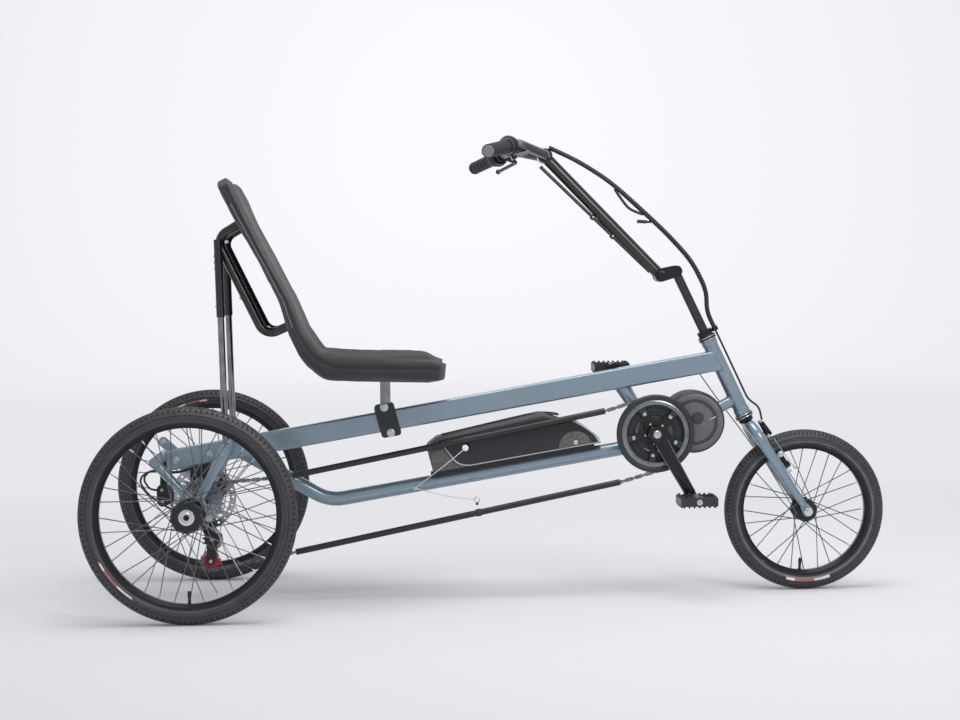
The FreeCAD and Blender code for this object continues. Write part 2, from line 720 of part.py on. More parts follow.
def wheel(name, end, station, middle):
    """Tyre, rim, crossed spokes and hub; end is rear or front, for the sizes' names."""
    radius = getattr(size, end + "_tyre_radius")
    spacing = getattr(size, end + "_flange_spacing")
    count = int(getattr(size, end + "_spoke_count"))
    centre = at(station, middle, radius)
    keep(place(tyre_ring(name, end), centre, SIDEWAYS), name + "_tyre")
    keep(turned(name + "_rim_lathe", centre, SIDEWAYS, rim_section(end)), name + "_rim")
    keep(turned(name + "_hub_lathe", centre, SIDEWAYS, hub_section(end)), name + "_hub")

    # Spokes lie against both faces of each flange and lean nearly a quarter turn, so that
    # neighbours cross outside one another.
    flange_radius = getattr(size, end + "_flange_diameter") / 2
    hole_circle = flange_radius - size.spoke_hole_inset
    rim_seat = getattr(size, end + "_rim_radius") - getattr(size, end + "_rim_depth") - size.spoke_seat
    tip_reach = rim_seat - size.spoke_diameter / 10
    face = size.flange_thickness / 2 + size.spoke_diameter / 2 + size.spoke_seat
    # An outer spoke slants inwards while it still runs over its flange, so it starts further out.
    drift = spacing / 2 * math.sqrt(flange_radius ** 2 - hole_circle ** 2) / rim_seat * 1.15
    spokes = []
    for n in range(count):
        rim_angle = 2 * math.pi * n / count
        side = LEFT if n % 2 else RIGHT
        lean = math.radians(size.spoke_lean) * (1 if (n // 2) % 2 else -1)
        lie = face + drift if (n // 2) % 2 else -face
        foot = polar(centre, hole_circle, rim_angle + lean) + SIDEWAYS * side * (spacing / 2 + lie)
        tip = polar(centre, tip_reach, rim_angle) + SIDEWAYS * side * size.spoke_hole_inset
        prism = bind(doc.addObject("Part::Prism", "%s_spoke_%d" % (name, n)), Polygon=6,
                     Circumradius="Sizes.spoke_diameter / 2", Height=(tip - foot).Length)
        spokes.append(place(prism, foot, tip - foot))
    keep(group(name + "_spoke_set", *spokes), name + "_spokes")


wheel("rear_right", "rear", 0, -half_track)
wheel("rear_left", "rear", 0, half_track)
wheel("front", "front", size.wheelbase, 0)

# ---------------------------------------------------------------- chain
# Every guide's turn is from above: the chain runs forward on top, over the chainring, back
# below, round the two pulleys and over the sprocket. Two plastic tubes bend the long runs a
# little where they end: the ends are set out from the bracket and from the rear axle.
TUBE_GUIDE = 150.0
rear_anchor = (0.0, axle_height)
front_anchor = (size.bracket_station, size.bracket_height)
TUBE_ENDS = {
    # tube: (rear end from the rear axle, front end from the bracket), as (forward, up)
    "upper": ((221.6, 58.4), (-121.2, 56.2)),
    "lower": ((228.0, -125.5), (-86.9, -116.6)),
}


def tube_end(tube, which):
    anchor = (rear_anchor, front_anchor)[which]
    offset = TUBE_ENDS[tube][which]
    return (anchor[0] + offset[0], anchor[1] + offset[1])


def guide_over(tube, which):
    """The round guide that bends the chain at a tube's end: its centre stands over the tube."""
    rear, front = tube_end(tube, 0), tube_end(tube, 1)
    run = math.atan2(front[1] - rear[1], front[0] - rear[0])
    station, height = tube_end(tube, which)
    return (station - TUBE_GUIDE * math.sin(run), height + TUBE_GUIDE * math.cos(run), TUBE_GUIDE)


def pitch_radius(teeth):
    """The chain is laid as an even band, so a wheel's pitch circle measures one pitch a tooth."""
    return teeth * size.chain_pitch / (2 * math.pi)


guide_pulley = (size.guide_pulley_station, axle_height - size.guide_pulley_drop)
tension_pulley = (size.tension_pulley_station, axle_height - size.tension_pulley_drop)
chain_turns = [
    guide_over("upper", 0) + (COUNTER,),
    guide_over("upper", 1) + (COUNTER,),
    front_anchor + (pitch_radius(size.chainring_teeth), CLOCKWISE),
    guide_over("lower", 1) + (CLOCKWISE,),
    tension_pulley + (pitch_radius(size.pulley_teeth), CLOCKWISE),
    guide_pulley + (pitch_radius(size.pulley_teeth), COUNTER),
    rear_anchor + (pitch_radius(size.sprocket_teeth), CLOCKWISE),
]
chain_line = belt(chain_turns)
chain_length = sum(edge.Length for edge in chain_line)


def along_chain(distance):
    """The point of the chain's line at this distance from its start above the upper tube."""
    for edge in chain_line:
        if distance <= edge.Length:
            return edge.valueAt(edge.getParameterByLength(distance))
        distance -= edge.Length
    return chain_line[0].valueAt(0)


# The pins stand one pitch apart from the middle of the upper tube, right round to it again.
tube_middle = chain_line[0].Length / 2
pins = [along_chain((tube_middle + n * size.chain_pitch) % chain_length)
        for n in range(int(chain_length / size.chain_pitch) + 1)]


def inside_tube(point, tube):
    """True well inside a tube's ends, where the chain can't be seen."""
    (rear, rear_z), (front, front_z) = tube_end(tube, 0), tube_end(tube, 1)
    share = (station_of(point) - rear) / (front - rear)
    margin = size.chain_pitch / (front - rear)
    off_centre = point.z - rear_z - share * (front_z - rear_z)
    return margin < share < 1 - margin and abs(off_centre) < size.chain_tube_bore


def by_teeth(point):
    """True where a turning wheel's teeth pass, so the fixed chain has plates there and no rollers."""
    for (station, height), teeth in ((front_anchor, size.chainring_teeth), (rear_anchor, size.sprocket_teeth)):
        tips = pitch_radius(teeth) + size.tooth_height
        if (point - at(station, 0, height)).Length < tips + size.chain_link_height:
            return True
    return False


def link_outline(start, end, half_height, overhang, clip):
    """A link's outline from pin to pin and past both, with its corners clipped."""
    forward = (end - start).normalize()
    square = Vector(-forward.z, 0, forward.x)
    reach = (end - start).Length + overhang
    upper = [(-overhang, half_height - clip), (clip - overhang, half_height),
             (reach - clip, half_height), (reach, half_height - clip)]
    if not clip:
        upper = upper[::3]
    around = upper + [(along, -raised) for along, raised in reversed(upper)]
    return [start + forward * along + square * raised for along, raised in around]


def chain_bar(corners, near, far):
    """A link outline thickened between two side offsets from the chain's middle."""
    corners = [corner + SIDEWAYS * (near - size.chain_offset) for corner in corners]
    return Part.Face(Part.makePolygon(corners + corners[:1])).extrude(SIDEWAYS * (far - near))


# Inner links are two low plates with a roller at each end; outer links are two higher plates
# with clipped corners that lie on them. Inside each plastic tube a plain bar joins the ends.
inner_face = size.chain_inner_gap / 2
inner_back = inner_face + size.chain_plate_thickness
half_inner = size.chain_link_height / 2
half_outer = size.chain_plate_height / 2
chain_pieces = []
for n, (start, end) in enumerate(zip(pins, pins[1:])):
    if any(inside_tube(start, tube) and inside_tube(end, tube) for tube in TUBE_ENDS):
        continue
    if n % 2:
        corners = link_outline(start, end, half_outer, half_outer, half_outer * 0.5)
        chain_pieces += [chain_bar(corners, inner_back, size.chain_width / 2),
                         chain_bar(corners, -size.chain_width / 2, -inner_back)]
    else:
        corners = link_outline(start, end, half_inner, half_inner, 0)
        chain_pieces += [chain_bar(corners, inner_face, inner_back), chain_bar(corners, -inner_back, -inner_face)]
        along = (end - start).normalize() * half_inner
        chain_pieces += [chain_bar(link_outline(pin - along, pin + along, half_inner, 0, 0), -inner_face, inner_face)
                         for pin in (start, end) if not by_teeth(pin)]
for tube in TUBE_ENDS:
    hidden = sorted((pin for pin in pins if inside_tube(pin, tube)), key=station_of)
    chain_pieces.append(chain_bar(link_outline(hidden[0], hidden[-1], half_outer, 0, 0),
                                  -size.chain_width / 2, size.chain_width / 2))
chain = doc.addObject("Part::Feature", "chain_loop")
chain.Shape = chain_pieces[0].multiFuse(chain_pieces[1:]).removeSplitter()
keep(chain, "chain")

sleeves = []
for tube in TUBE_ENDS:
    start, end = [at(station, -size.chain_offset, height)
                  for station, height in (tube_end(tube, 0), tube_end(tube, 1))]
    sleeves.append(cut(tube + "_chain_sleeve", rod(tube + "_chain_tube", start, end, "Sizes.chain_tube_diameter / 2"),
                       rod(tube + "_chain_tube_bore", start, end, "Sizes.chain_tube_bore / 2")))
keep(group("chain_sleeves", *sleeves), "chain_tubes")


# ---------------------------------------------------------------- toothed wheels
def first_pin(centre, teeth):
    """The angle of a pin that rests on this wheel, so that its tooth gaps fall on the pins."""
    for pin in pins:
        if abs((pin - centre).Length - pitch_radius(teeth)) < size.weld_gap / 10:
            return math.atan2(pin.z - centre.z, pin.x - centre.x)
    return 0.0


def toothed(name, centre, teeth, width, middle):
    """A sprocket: a round seat for each roller, straight flanks and narrow flat tips."""
    teeth = int(teeth)
    pitch = pitch_radius(teeth)
    tips = pitch + size.tooth_height
    half_tip = size.tooth_tip_width / 2 / tips
    seat = size.chain_roller_radius + size.tooth_clearance
    half_seat = math.radians(60)
    step = 2 * math.pi / teeth
    phase = first_pin(centre, teeth)
    edges = []
    for n in range(teeth):
        angle = phase + n * step
        gap = polar(centre, pitch, angle)
        next_gap = polar(centre, pitch, angle + step)
        inward = angle + math.pi
        seat_end = polar(gap, seat, inward - half_seat)
        edges.append(Part.Arc(polar(gap, seat, inward + half_seat), polar(gap, seat, inward), seat_end).toShape())
        edges += Part.makePolygon([seat_end, polar(centre, tips, angle + step / 2 - half_tip),
                                   polar(centre, tips, angle + step / 2 + half_tip),
                                   polar(next_gap, seat, inward + step + half_seat)]).Edges
    return slab(name, profile(name + "_outline", Part.Wire(edges)), width, middle)


def round_holes(name, centre, count, distance, radius, length, middle):
    """Cutting tools set evenly round a wheel's axle."""
    holes = []
    for n in range(count):
        spot = polar(centre, distance, 2 * math.pi * n / count)
        holes.append(across("%s_%d" % (name, n), station_of(spot), spot.z, radius, length, middle))
    return group(name, *holes)


def wheel_disc(name, centre, radius, width, middle):
    return across(name, station_of(centre), centre.z, radius, width, middle)


# ---------------------------------------------------------------- rear axle, cassette and brake disc
rear_hub = at(0, 0, axle_height)
HALF_AXLE = "Sizes.track / 2 + Sizes.rear_axle_overhang"
keep(turned("axle_lathe", rear_hub, SIDEWAYS, [
    ("0", "-(%s + Sizes.axle_cap_thickness)" % HALF_AXLE),
    ("Sizes.axle_cap_diameter / 2 - 2", "-(%s + Sizes.axle_cap_thickness)" % HALF_AXLE),
    ("Sizes.axle_cap_diameter / 2", "-(%s + Sizes.axle_cap_thickness / 2)" % HALF_AXLE),
    ("Sizes.axle_cap_diameter / 2", "-(%s)" % HALF_AXLE), ("Sizes.rear_axle_diameter / 2", "-(%s)" % HALF_AXLE),
    ("Sizes.rear_axle_diameter / 2", HALF_AXLE), ("Sizes.axle_cap_diameter / 2", HALF_AXLE),
    ("Sizes.axle_cap_diameter / 2", HALF_AXLE + " + Sizes.axle_cap_thickness / 2"),
    ("Sizes.axle_cap_diameter / 2 - 2", HALF_AXLE + " + Sizes.axle_cap_thickness"),
    ("0", HALF_AXLE + " + Sizes.axle_cap_thickness")]), "rear_axle")

AXLE_FIT = "Sizes.rear_axle_diameter / 2 + Sizes.running_clearance"
COGS = (28, 24, size.sprocket_teeth, 16, 12)
cogs = []
for n, teeth in enumerate(COGS):
    cogs.append(toothed("cog_%d" % n, rear_hub, teeth, "Sizes.sprocket_thickness",
                        (len(COGS) // 2 - n) * size.sprocket_spacing - size.chain_offset))
carrier_radius = pitch_radius(COGS[-1]) - size.chain_roller_radius * 1.4
carrier = wheel_disc("carrier", rear_hub, carrier_radius, size.sprocket_spacing * 5.8, -size.chain_offset)
# The two largest sprockets are pierced between their teeth and the carrier.
cog_holes = round_holes("cog_holes", rear_hub, 8, pitch_radius(COGS[1]) * 0.64, size.sprocket_spacing * 1.1,
                        size.sprocket_spacing * 2, size.sprocket_spacing * 1.5 - size.chain_offset)
keep(cut("cassette_solid", fuse("cassette_rough", carrier, *cogs), cog_holes,
         wheel_disc("carrier_bore", rear_hub, AXLE_FIT, THROUGH, -size.chain_offset)), "cassette")

rotor_radius = size.rotor_diameter / 2
track_width = size.rotor_diameter / 10
rotor_track = cut("rotor_track",
                  wheel_disc("rotor_outer", rear_hub, rotor_radius, size.rotor_thickness, size.rotor_offset),
                  wheel_disc("rotor_inner", rear_hub, rotor_radius - track_width, THROUGH, size.rotor_offset))
rotor_hub = wheel_disc("rotor_hub", rear_hub, size.rear_axle_diameter * 1.1, track_width, size.rotor_offset)
rotor_arms = []
for n in range(6):
    root = polar(rear_hub, size.rear_axle_diameter, 2 * math.pi * n / 6)
    rim_end = polar(rear_hub, rotor_radius - track_width * 0.6, 2 * math.pi * (n + 0.35) / 6)
    rotor_arms.append(strap("rotor_arm_%d" % n, [(station_of(root), root.z, 5.0), (station_of(rim_end), rim_end.z, 3.5)],
                            "Sizes.rotor_thickness", size.rotor_offset))
rotor_holes = round_holes("rotor_holes", rear_hub, 24, rotor_radius - track_width / 2, 3.0, THROUGH, size.rotor_offset)
keep(cut("rotor_solid", fuse("rotor_rough", rotor_track, rotor_hub, *rotor_arms), rotor_holes,
         wheel_disc("rotor_bore", rear_hub, AXLE_FIT, THROUGH, size.rotor_offset)), "brake_disc")

# The caliper straddles the disc behind the axle and hangs from the rear cross tube.
caliper_height = axle_height + 5.0
CALIPER_BODY = ((-98.0, -12.0, 13.0), (-99.0, 16.0, 13.0), (-82.0, 24.0, 8.0), (-80.0, -10.0, 8.0))
caliper_width = 30.0
caliper_side = size.rotor_offset + caliper_width / 2
caliper = strap("caliper_body", [(station, caliper_height + up, radius) for station, up, radius in CALIPER_BODY],
                caliper_width, size.rotor_offset)
piston = across("caliper_piston", -92.0, caliper_height + 2.0, 14.0, 6.0, caliper_side + 3.0)
hanger_top = size.rear_cross_height - 4.0
hanger = strap("caliper_hanger", [(rear_cross_station, hanger_top, 11.0), (-97.0, caliper_height + 16.0, 10.0)],
               5.0, caliper_side + 2.5)
caliper_slot = wheel_disc("caliper_slot", rear_hub, rotor_radius + 5.0, size.rotor_thickness + 4.0, size.rotor_offset)
rear_cross_cope = across("rear_cross_cope", rear_cross_station, size.rear_cross_height,
                         "Sizes.cross_tube_diameter / 2 + Sizes.weld_gap", THROUGH, caliper_side)
keep(cut("caliper_solid", fuse("caliper_rough", caliper, piston, hanger), caliper_slot, rear_cross_cope),
     "brake_caliper")

# ---------------------------------------------------------------- derailleur
guide_centre = at(guide_pulley[0], 0, guide_pulley[1])
tension_centre = at(tension_pulley[0], 0, tension_pulley[1])
HANGER_SIDE, HANGER_THICKNESS = -20.0, 5.0
CAGE_THICKNESS = 2.0
cage_gap = size.chain_width / 2 + CAGE_THICKNESS / 2 + 1.5
upper_knuckle = (8.0, axle_height - 51.0)
lower_knuckle = (guide_pulley[0] + 2.0, guide_pulley[1] + 4.0)
hanger_face = HANGER_SIDE - HANGER_THICKNESS / 2
cage_face = cage_gap - CAGE_THICKNESS / 2 - size.chain_offset
derailleur = []
for name, centre in (("guide", guide_pulley), ("tension", tension_pulley)):
    derailleur += [toothed(name + "_pulley", at(centre[0], 0, centre[1]), size.pulley_teeth,
                           "Sizes.sprocket_thickness", -size.chain_offset),
                   across(name + "_pulley_pin", *centre, 6.0, cage_gap * 2 + CAGE_THICKNESS + 3.0, -size.chain_offset)]
for name, side in SIDES:
    derailleur.append(strap(name + "_cage_plate", [guide_pulley + (12.5,), tension_pulley + (10.0,)], CAGE_THICKNESS,
                            side * cage_gap - size.chain_offset))
hanger_foot = (lower_knuckle[0] - 6.0, lower_knuckle[1] - 8.0, 12.0)
hanger_plate = strap("hanger_plate", [(0.0, size.beam_height - beam_half, 24.0), hanger_foot, (0.0, axle_height, 26.0)],
                     HANGER_THICKNESS, HANGER_SIDE)
hanger_trim = block("hanger_trim", on_beam(-size.beam_depth, -beam_half - size.weld_gap), beam_turn,
                    size.beam_depth * 2, "Sizes.beam_width * 2", size.beam_depth)
hanger_bore = wheel_disc("hanger_bore", rear_hub, "Sizes.rear_axle_diameter / 2 + 5", THROUGH, 0)
derailleur.append(cut("hanger_solid", hanger_plate, hanger_bore, hanger_trim))
# Two knuckles and two links make the parallelogram between the hanger and the pulley cage.
link_depth = 4.0
derailleur.append(across("upper_knuckle", *upper_knuckle, 11.0, 15.0, hanger_face - 7.5))
derailleur.append(across("lower_knuckle", *lower_knuckle, 9.5, hanger_face - cage_face, (cage_face + hanger_face) / 2))
for name, depth in (("inner_link", 3.0), ("outer_link", 12.0)):
    derailleur.append(strap(name, [upper_knuckle + (8.0,), lower_knuckle + (7.0,)], link_depth, hanger_face - depth))
keep(fuse("derailleur_solid", *derailleur), "derailleur")

# ---------------------------------------------------------------- chainring, guard, cranks and pedals
SPIDER_ARMS = 5
bolt_radius = size.bolt_circle / 2
root_radius = pitch_radius(size.chainring_teeth) - size.chain_roller_radius - size.tooth_clearance
SPIDER_THICKNESS = 4.0
spider_middle = -size.chain_offset - size.sprocket_thickness / 2 - SPIDER_THICKNESS / 2
guard_middle = spider_middle - SPIDER_THICKNESS / 2 - size.weld_gap - size.guard_thickness / 2
ring_tabs = []
spider_arms = []
guard_tabs = []
for n in range(SPIDER_ARMS):
    angle = math.radians(size.crank_angle * -1 + 360.0 / SPIDER_ARMS * (n + 0.5))
    inner = polar(bracket, size.spindle_diameter, angle)
    bolt = polar(bracket, bolt_radius, angle)
    outer = polar(bracket, root_radius - 4.0, angle)
    bolt_spot, outer_spot = [(station_of(spot), spot.z) for spot in (bolt, outer)]
    ring_tabs.append(strap("ring_tab_%d" % n, [bolt_spot + (8.0,), outer_spot + (12.0,)], "Sizes.sprocket_thickness",
                           -size.chain_offset))
    spider_arms.append(strap("spider_arm_%d" % n, [(station_of(inner), inner.z, 14.0), bolt_spot + (8.0,)],
                             SPIDER_THICKNESS, spider_middle))
    guard_tabs.append(strap("guard_tab_%d" % n, [bolt_spot + (8.0,), outer_spot + (11.0,)], "Sizes.guard_thickness",
                            guard_middle))
ring_hole = wheel_disc("ring_hole", bracket, root_radius - 9.0, THROUGH, -size.chain_offset)
ring = cut("ring_band", toothed("ring_teeth", bracket, size.chainring_teeth, "Sizes.sprocket_thickness",
                                -size.chain_offset), ring_hole)
spindle_hole = wheel_disc("spindle_hole", bracket, "Sizes.spindle_diameter / 2 + Sizes.weld_gap", THROUGH,
                          -size.chain_offset)
spider_hub = wheel_disc("spider_hub", bracket, size.spindle_diameter * 1.3, SPIDER_THICKNESS, spider_middle)
keep(cut("chainring_solid", fuse("chainring_rough", ring, spider_hub, *(ring_tabs + spider_arms)), spindle_hole),
     "chainring")
guard = cut("guard_band", wheel_disc("guard_outer", bracket, "Sizes.guard_diameter / 2", "Sizes.guard_thickness",
                                     guard_middle),
            wheel_disc("guard_hole", bracket, "Sizes.guard_window / 2", THROUGH, guard_middle))
keep(fuse("guard_solid", guard, *guard_tabs), "chain_guard")

BOSS_WIDTH, EYE_WIDTH = 26.0, 18.0
crank_down = math.radians(-size.crank_angle)
for name, side in SIDES:
    heading = crank_down if side == RIGHT else crank_down + math.pi
    tip = polar(bracket, size.crank_length, heading)
    tip_spot = (station_of(tip), tip.z)
    middle = side * size.crank_offset
    pieces = [strap(name + "_arm", [front_anchor + (17.0,), tip_spot + (12.5,)], "Sizes.crank_thickness", middle),
              across(name + "_boss", *front_anchor, "Sizes.spindle_diameter", BOSS_WIDTH, middle),
              across(name + "_eye", *tip_spot, 13.0, EYE_WIDTH, middle),
              across(name + "_pedal_axle", *tip_spot, "Sizes.pedal_axle_diameter / 2", 2 * size.pedal_offset
                     - 2 * size.crank_offset + EYE_WIDTH, middle)]
    outside = block(name + "_pin_trim", tip + SIDEWAYS * (middle - side * (THROUGH / 2 + EYE_WIDTH / 2))
                    - Vector(THROUGH / 2, 0, THROUGH / 2), Rotation(), THROUGH, THROUGH, THROUGH)
    pieces[3] = cut(name + "_pedal_pin", pieces[3], outside)
    if side == RIGHT:
        pieces.append(across("spindle", *front_anchor, "Sizes.spindle_diameter / 2", 2 * size.crank_offset - 20.0))
        keep(fuse("right_crank_solid", *pieces), "crank_right")
    else:
        room = across("spindle_room", *front_anchor, "Sizes.spindle_diameter / 2 + Sizes.weld_gap",
                      BOSS_WIDTH * 2, middle)
        keep(cut("left_crank_solid", fuse("left_crank_rough", *pieces), room), "crank_left")

    # The pedal is an open cage round its axle barrel, with notches along both treads.
    centre = tip + SIDEWAYS * (side * size.pedal_offset)
    corner = centre - Vector(size.pedal_length / 2, 0, size.pedal_thickness / 2)
    frame = block(name + "_pedal_frame", corner, Rotation(), "Sizes.pedal_length", "Sizes.pedal_width",
                  "Sizes.pedal_thickness")
    openings = []
    window = size.pedal_length / 2 - 20.0
    for end, shift in (("rear", 8.0), ("front", size.pedal_length - 8.0 - window)):
        openings.append(block("%s_%s_window" % (name, end), corner + Vector(shift, 0, -1), Rotation(), window,
                              "Sizes.pedal_width - 18", size.pedal_thickness + 2))
    for n in range(6):
        for level, height in (("low", -1.0), ("high", size.pedal_thickness - 3.0)):
            notch = block("%s_%s_notch_%d" % (name, level, n), corner + Vector(-1, (n - 2.5) * 14.0, height),
                          Rotation(), size.pedal_length + 2, 6.0, 4.0)
            openings.append(notch)
    barrel = across(name + "_pedal_barrel", *tip_spot, 11.0, "Sizes.pedal_width", side * size.pedal_offset)
    pedal_bore = across(name + "_pedal_bore", *tip_spot, "Sizes.pedal_axle_diameter / 2 + Sizes.running_clearance",
                        THROUGH * 3, side * size.pedal_offset)
    keep(cut(name + "_pedal_solid", fuse(name + "_pedal_rough", cut(name + "_pedal_cage", frame, *openings), barrel),
             pedal_bore), "pedal_" + name)

# ---------------------------------------------------------------- battery on the lower tube
tube_top = size.lower_tube_diameter / 2
rail_top = tube_top + size.battery_rail_height
BATTERY_REAR, BATTERY_FRONT = 565.0, 973.0
rail = slab("rail_bar", outline("rail_outline", [
    (on_lower(BATTERY_REAR - 6, tube_top - 4), 0), (on_lower(BATTERY_REAR - 6, rail_top), 3.0),
    (on_lower(BATTERY_FRONT - 16, rail_top), 3.0), (on_lower(BATTERY_FRONT - 16, tube_top - 4), 0)]),
    "Sizes.battery_rail_width")
rail_cope = weld_cope("rail_cope", on_lower(BATTERY_REAR - 60), on_lower(BATTERY_FRONT + 40),
                      "Sizes.lower_tube_diameter / 2")
keep(cut("rail_solid", rail, rail_cope), "battery_rail")
battery_foot = rail_top + size.weld_gap
BATTERY_CORNERS = (
    # station along the lower tube, height above its axis, corner radius
    (BATTERY_REAR, battery_foot, 0), (559.0, 92.0, 14.0), (588.0, 108.0, 20.0), (846.0, 123.0, 40.0),
    (942.0, 68.5, 60.0), (BATTERY_FRONT, battery_foot, 0))
battery = slab("battery_block", outline("battery_outline", [
    (on_lower(station, raised), radius) for station, raised, radius in BATTERY_CORNERS]), "Sizes.battery_width")


def battery_rim(edge):
    """The edges round both sides of the battery, apart from its foot."""
    middle = edge.CenterOfMass
    raised = (middle - on_lower(BATTERY_REAR)).dot(lower_square)
    return abs(middle.y) > size.battery_width / 2 - size.weld_gap and raised > battery_foot + size.weld_gap


keep(rounded("battery_solid", battery, size.battery_edge, battery_rim), "battery_case")


# ---------------------------------------------------------------- seat
def at_seat(forward, up, side=0.0):
    """A point set out from the rear foot of the seat base."""
    return at(size.seat_station + forward, side, size.seat_height + up)


# Each pair is a point of the rear or lower face and the point of the front or upper face across
# from it, as (forward, up) from the seat's foot, in order from the free end to the seat's elbow.
BACK_PAIRS = (((-243, 473), (-213, 487)), ((-196, 382), (-166, 379)), ((-136, 269), (-119, 285)),
              ((-96, 190), (-69, 190)), ((-72, 107), (-40, 118)), ((-48, 57), (-2, 64)))
BASE_PAIRS = (((296, -3), (301, 40)), ((254, -7), (254, 52)), ((92, -2), (133, 55)), ((0, 0), (60, 59)),
              ((-27, 28), (24, 62)), ((-48, 56.7), (-2, 63.7)))
CUSHION_SECTIONS = (
    # share of the half width, inset of both faces and dip of the front face as shares of the
    # thickness, and share of the corner by which the free end is shortened
    (1.00, 0.28, 0.28, 1.0), (0.95, 0.07, 0.07, 0.38), (0.80, 0.0, 0.0, 0.04), (0.50, 0.0, 0.30, 0.0))


def cushion(name, pairs):
    """A padded panel: its outline is drawn at eight places across and joined by flat strips."""
    half_width = size.seat_width / 2
    places = [(-share, inset, dip, short) for share, inset, dip, short in CUSHION_SECTIONS]
    places += [(share, inset, dip, short) for share, inset, dip, short in reversed(CUSHION_SECTIONS)]
    sections = []
    for n, (share, inset, dip, short) in enumerate(places):
        rear_face = []
        front_face = []
        for (rear_forward, rear_up), (front_forward, front_up) in pairs:
            rear = at_seat(rear_forward, rear_up, share * half_width)
            front = at_seat(front_forward, front_up, share * half_width)
            rear_face.append(rear + (front - rear) * inset)
            front_face.append(front + (rear - front) * dip)
        # The free end is drawn in towards the next pair, which rounds the panel's corners.
        for face in (rear_face, front_face):
            towards = face[1] - face[0]
            face[0] = face[0] + towards * min(short * size.seat_corner / towards.Length, 0.8)
        loop = rear_face + front_face[::-1]
        section = doc.addObject("Part::Feature", "%s_section_%d" % (name, n))
        section.Shape = Part.makePolygon(loop + loop[:1])
        sections.append(section)
    panel = doc.addObject("Part::Loft", name)
    panel.Sections = sections
    panel.Solid = True
    panel.Ruled = True
    return panel


keep(cushion("seat_back_panel", BACK_PAIRS), "seat_back")
keep(cushion("seat_base_panel", BASE_PAIRS), "seat_base")

# A flat pan under the base stands on a square post, which two bolted plates clamp to the beam.
under_rear, under_front = [at_seat(*pair[0]) for pair in (BASE_PAIRS[2], BASE_PAIRS[1])]
pan_along = (under_front - under_rear).normalize()
pan_square = Vector(-pan_along.z, 0, pan_along.x)
pan_top = [point - pan_square * size.seat_gap for point in (under_rear, under_front)]
pan_foot = [point - pan_square * size.pan_thickness for point in pan_top]
keep(slab("pan_solid", outline("pan_outline", [(point, 0) for point in pan_top + pan_foot[::-1]]),
          "Sizes.pan_width"), "seat_pan")

seat_foot = on_beam(size.clamp_station, beam_half + size.weld_gap)
post_reach = size.seat_post_width / 2
post_box = block("seat_post_box", seat_foot - Vector(post_reach, 0, 0), Rotation(), "Sizes.seat_post_width",
                 "Sizes.seat_post_width", pan_top[0].z - seat_foot.z)
above_pan = [point - pan_square * size.weld_gap for point in pan_foot]
pan_trim = slab("pan_trim", outline("pan_trim_outline", [
    (point, 0) for point in above_pan + [point + pan_square * size.beam_depth for point in above_pan[::-1]]]), THROUGH)
beam_trim = block("beam_trim", on_beam(size.clamp_station - THROUGH, beam_half + size.weld_gap - size.beam_depth),
                  beam_turn, THROUGH * 2, THROUGH, size.beam_depth)
clamp_bolt_radius = size.clamp_bolt_diameter / 2
upper_bolt = on_beam(size.clamp_station - 2, beam_half + size.clamp_bolt_diameter)
lower_bolt = on_beam(size.clamp_station + 3, -beam_half - clamp_bolt_radius - size.weld_gap)
bolt_hole = across("seat_bolt_hole", station_of(upper_bolt), upper_bolt.z,
                   "Sizes.clamp_bolt_diameter / 2 + Sizes.weld_gap", THROUGH)
keep(cut("seat_post_solid", post_box, pan_trim, beam_trim, bolt_hole), "seat_post")

clamp_corners = [on_beam(size.clamp_station + along, raised) for along, raised in
                 ((-18, beam_half + 8), (14, beam_half + 8), (20, -beam_half - 6), (-12, -beam_half - 6))]
clamp_pieces = [strap(name + "_clamp_plate", [(station_of(corner), corner.z, 8.0) for corner in clamp_corners],
                      "Sizes.clamp_thickness", side * (size.beam_width / 2 + size.clamp_thickness / 2 + size.weld_gap))
                for name, side in SIDES]
clamp_span = size.beam_width + 2 * size.clamp_thickness + 8
for name, spot in (("upper", upper_bolt), ("lower", lower_bolt)):
    clamp_pieces.append(across(name + "_clamp_bolt", station_of(spot), spot.z, clamp_bolt_radius, clamp_span))
keep(fuse("clamp_solid", *clamp_pieces), "seat_clamp")

# Frame behind the seat: two bent rails joined by cross bars, and two stays down to the subframe.
clearance = Vector(-size.seat_gap * 1.12, 0, -size.seat_gap / 2)
rear_face = [at_seat(*pair[0]) + clearance for pair in BACK_PAIRS]
clear_block = slab("clear_back_block", outline("clear_back_outline", [
    (point, 0) for point in rear_face + [at_seat(100, 60), at_seat(0, 560), at_seat(-243, 560)]]),
    "Sizes.rail_spacing * 2")
RAIL_BENDS = ((-175, 378), (-246, 336), (-134, 102), (-60, 134))
rails = []
for name, side in SIDES:
    offset = side * size.rail_spacing / 2
    rails.append(bent_rod(name + "_rail", [at_seat(*bend, offset) for bend in RAIL_BENDS],
                          [size.rail_bend_radius] * 2, "Sizes.rail_diameter / 2"))
for name, (forward, up) in (("upper", (-238, 331)), ("lower", (-137, 115))):
    rails.append(across(name + "_rail_bar", size.seat_station + forward, size.seat_height + up,
                        "Sizes.rail_bar_diameter / 2", "Sizes.rail_spacing"))
keep(cut("rails_solid", fuse("rails_rough", *rails), clear_block), "seat_back_rails")

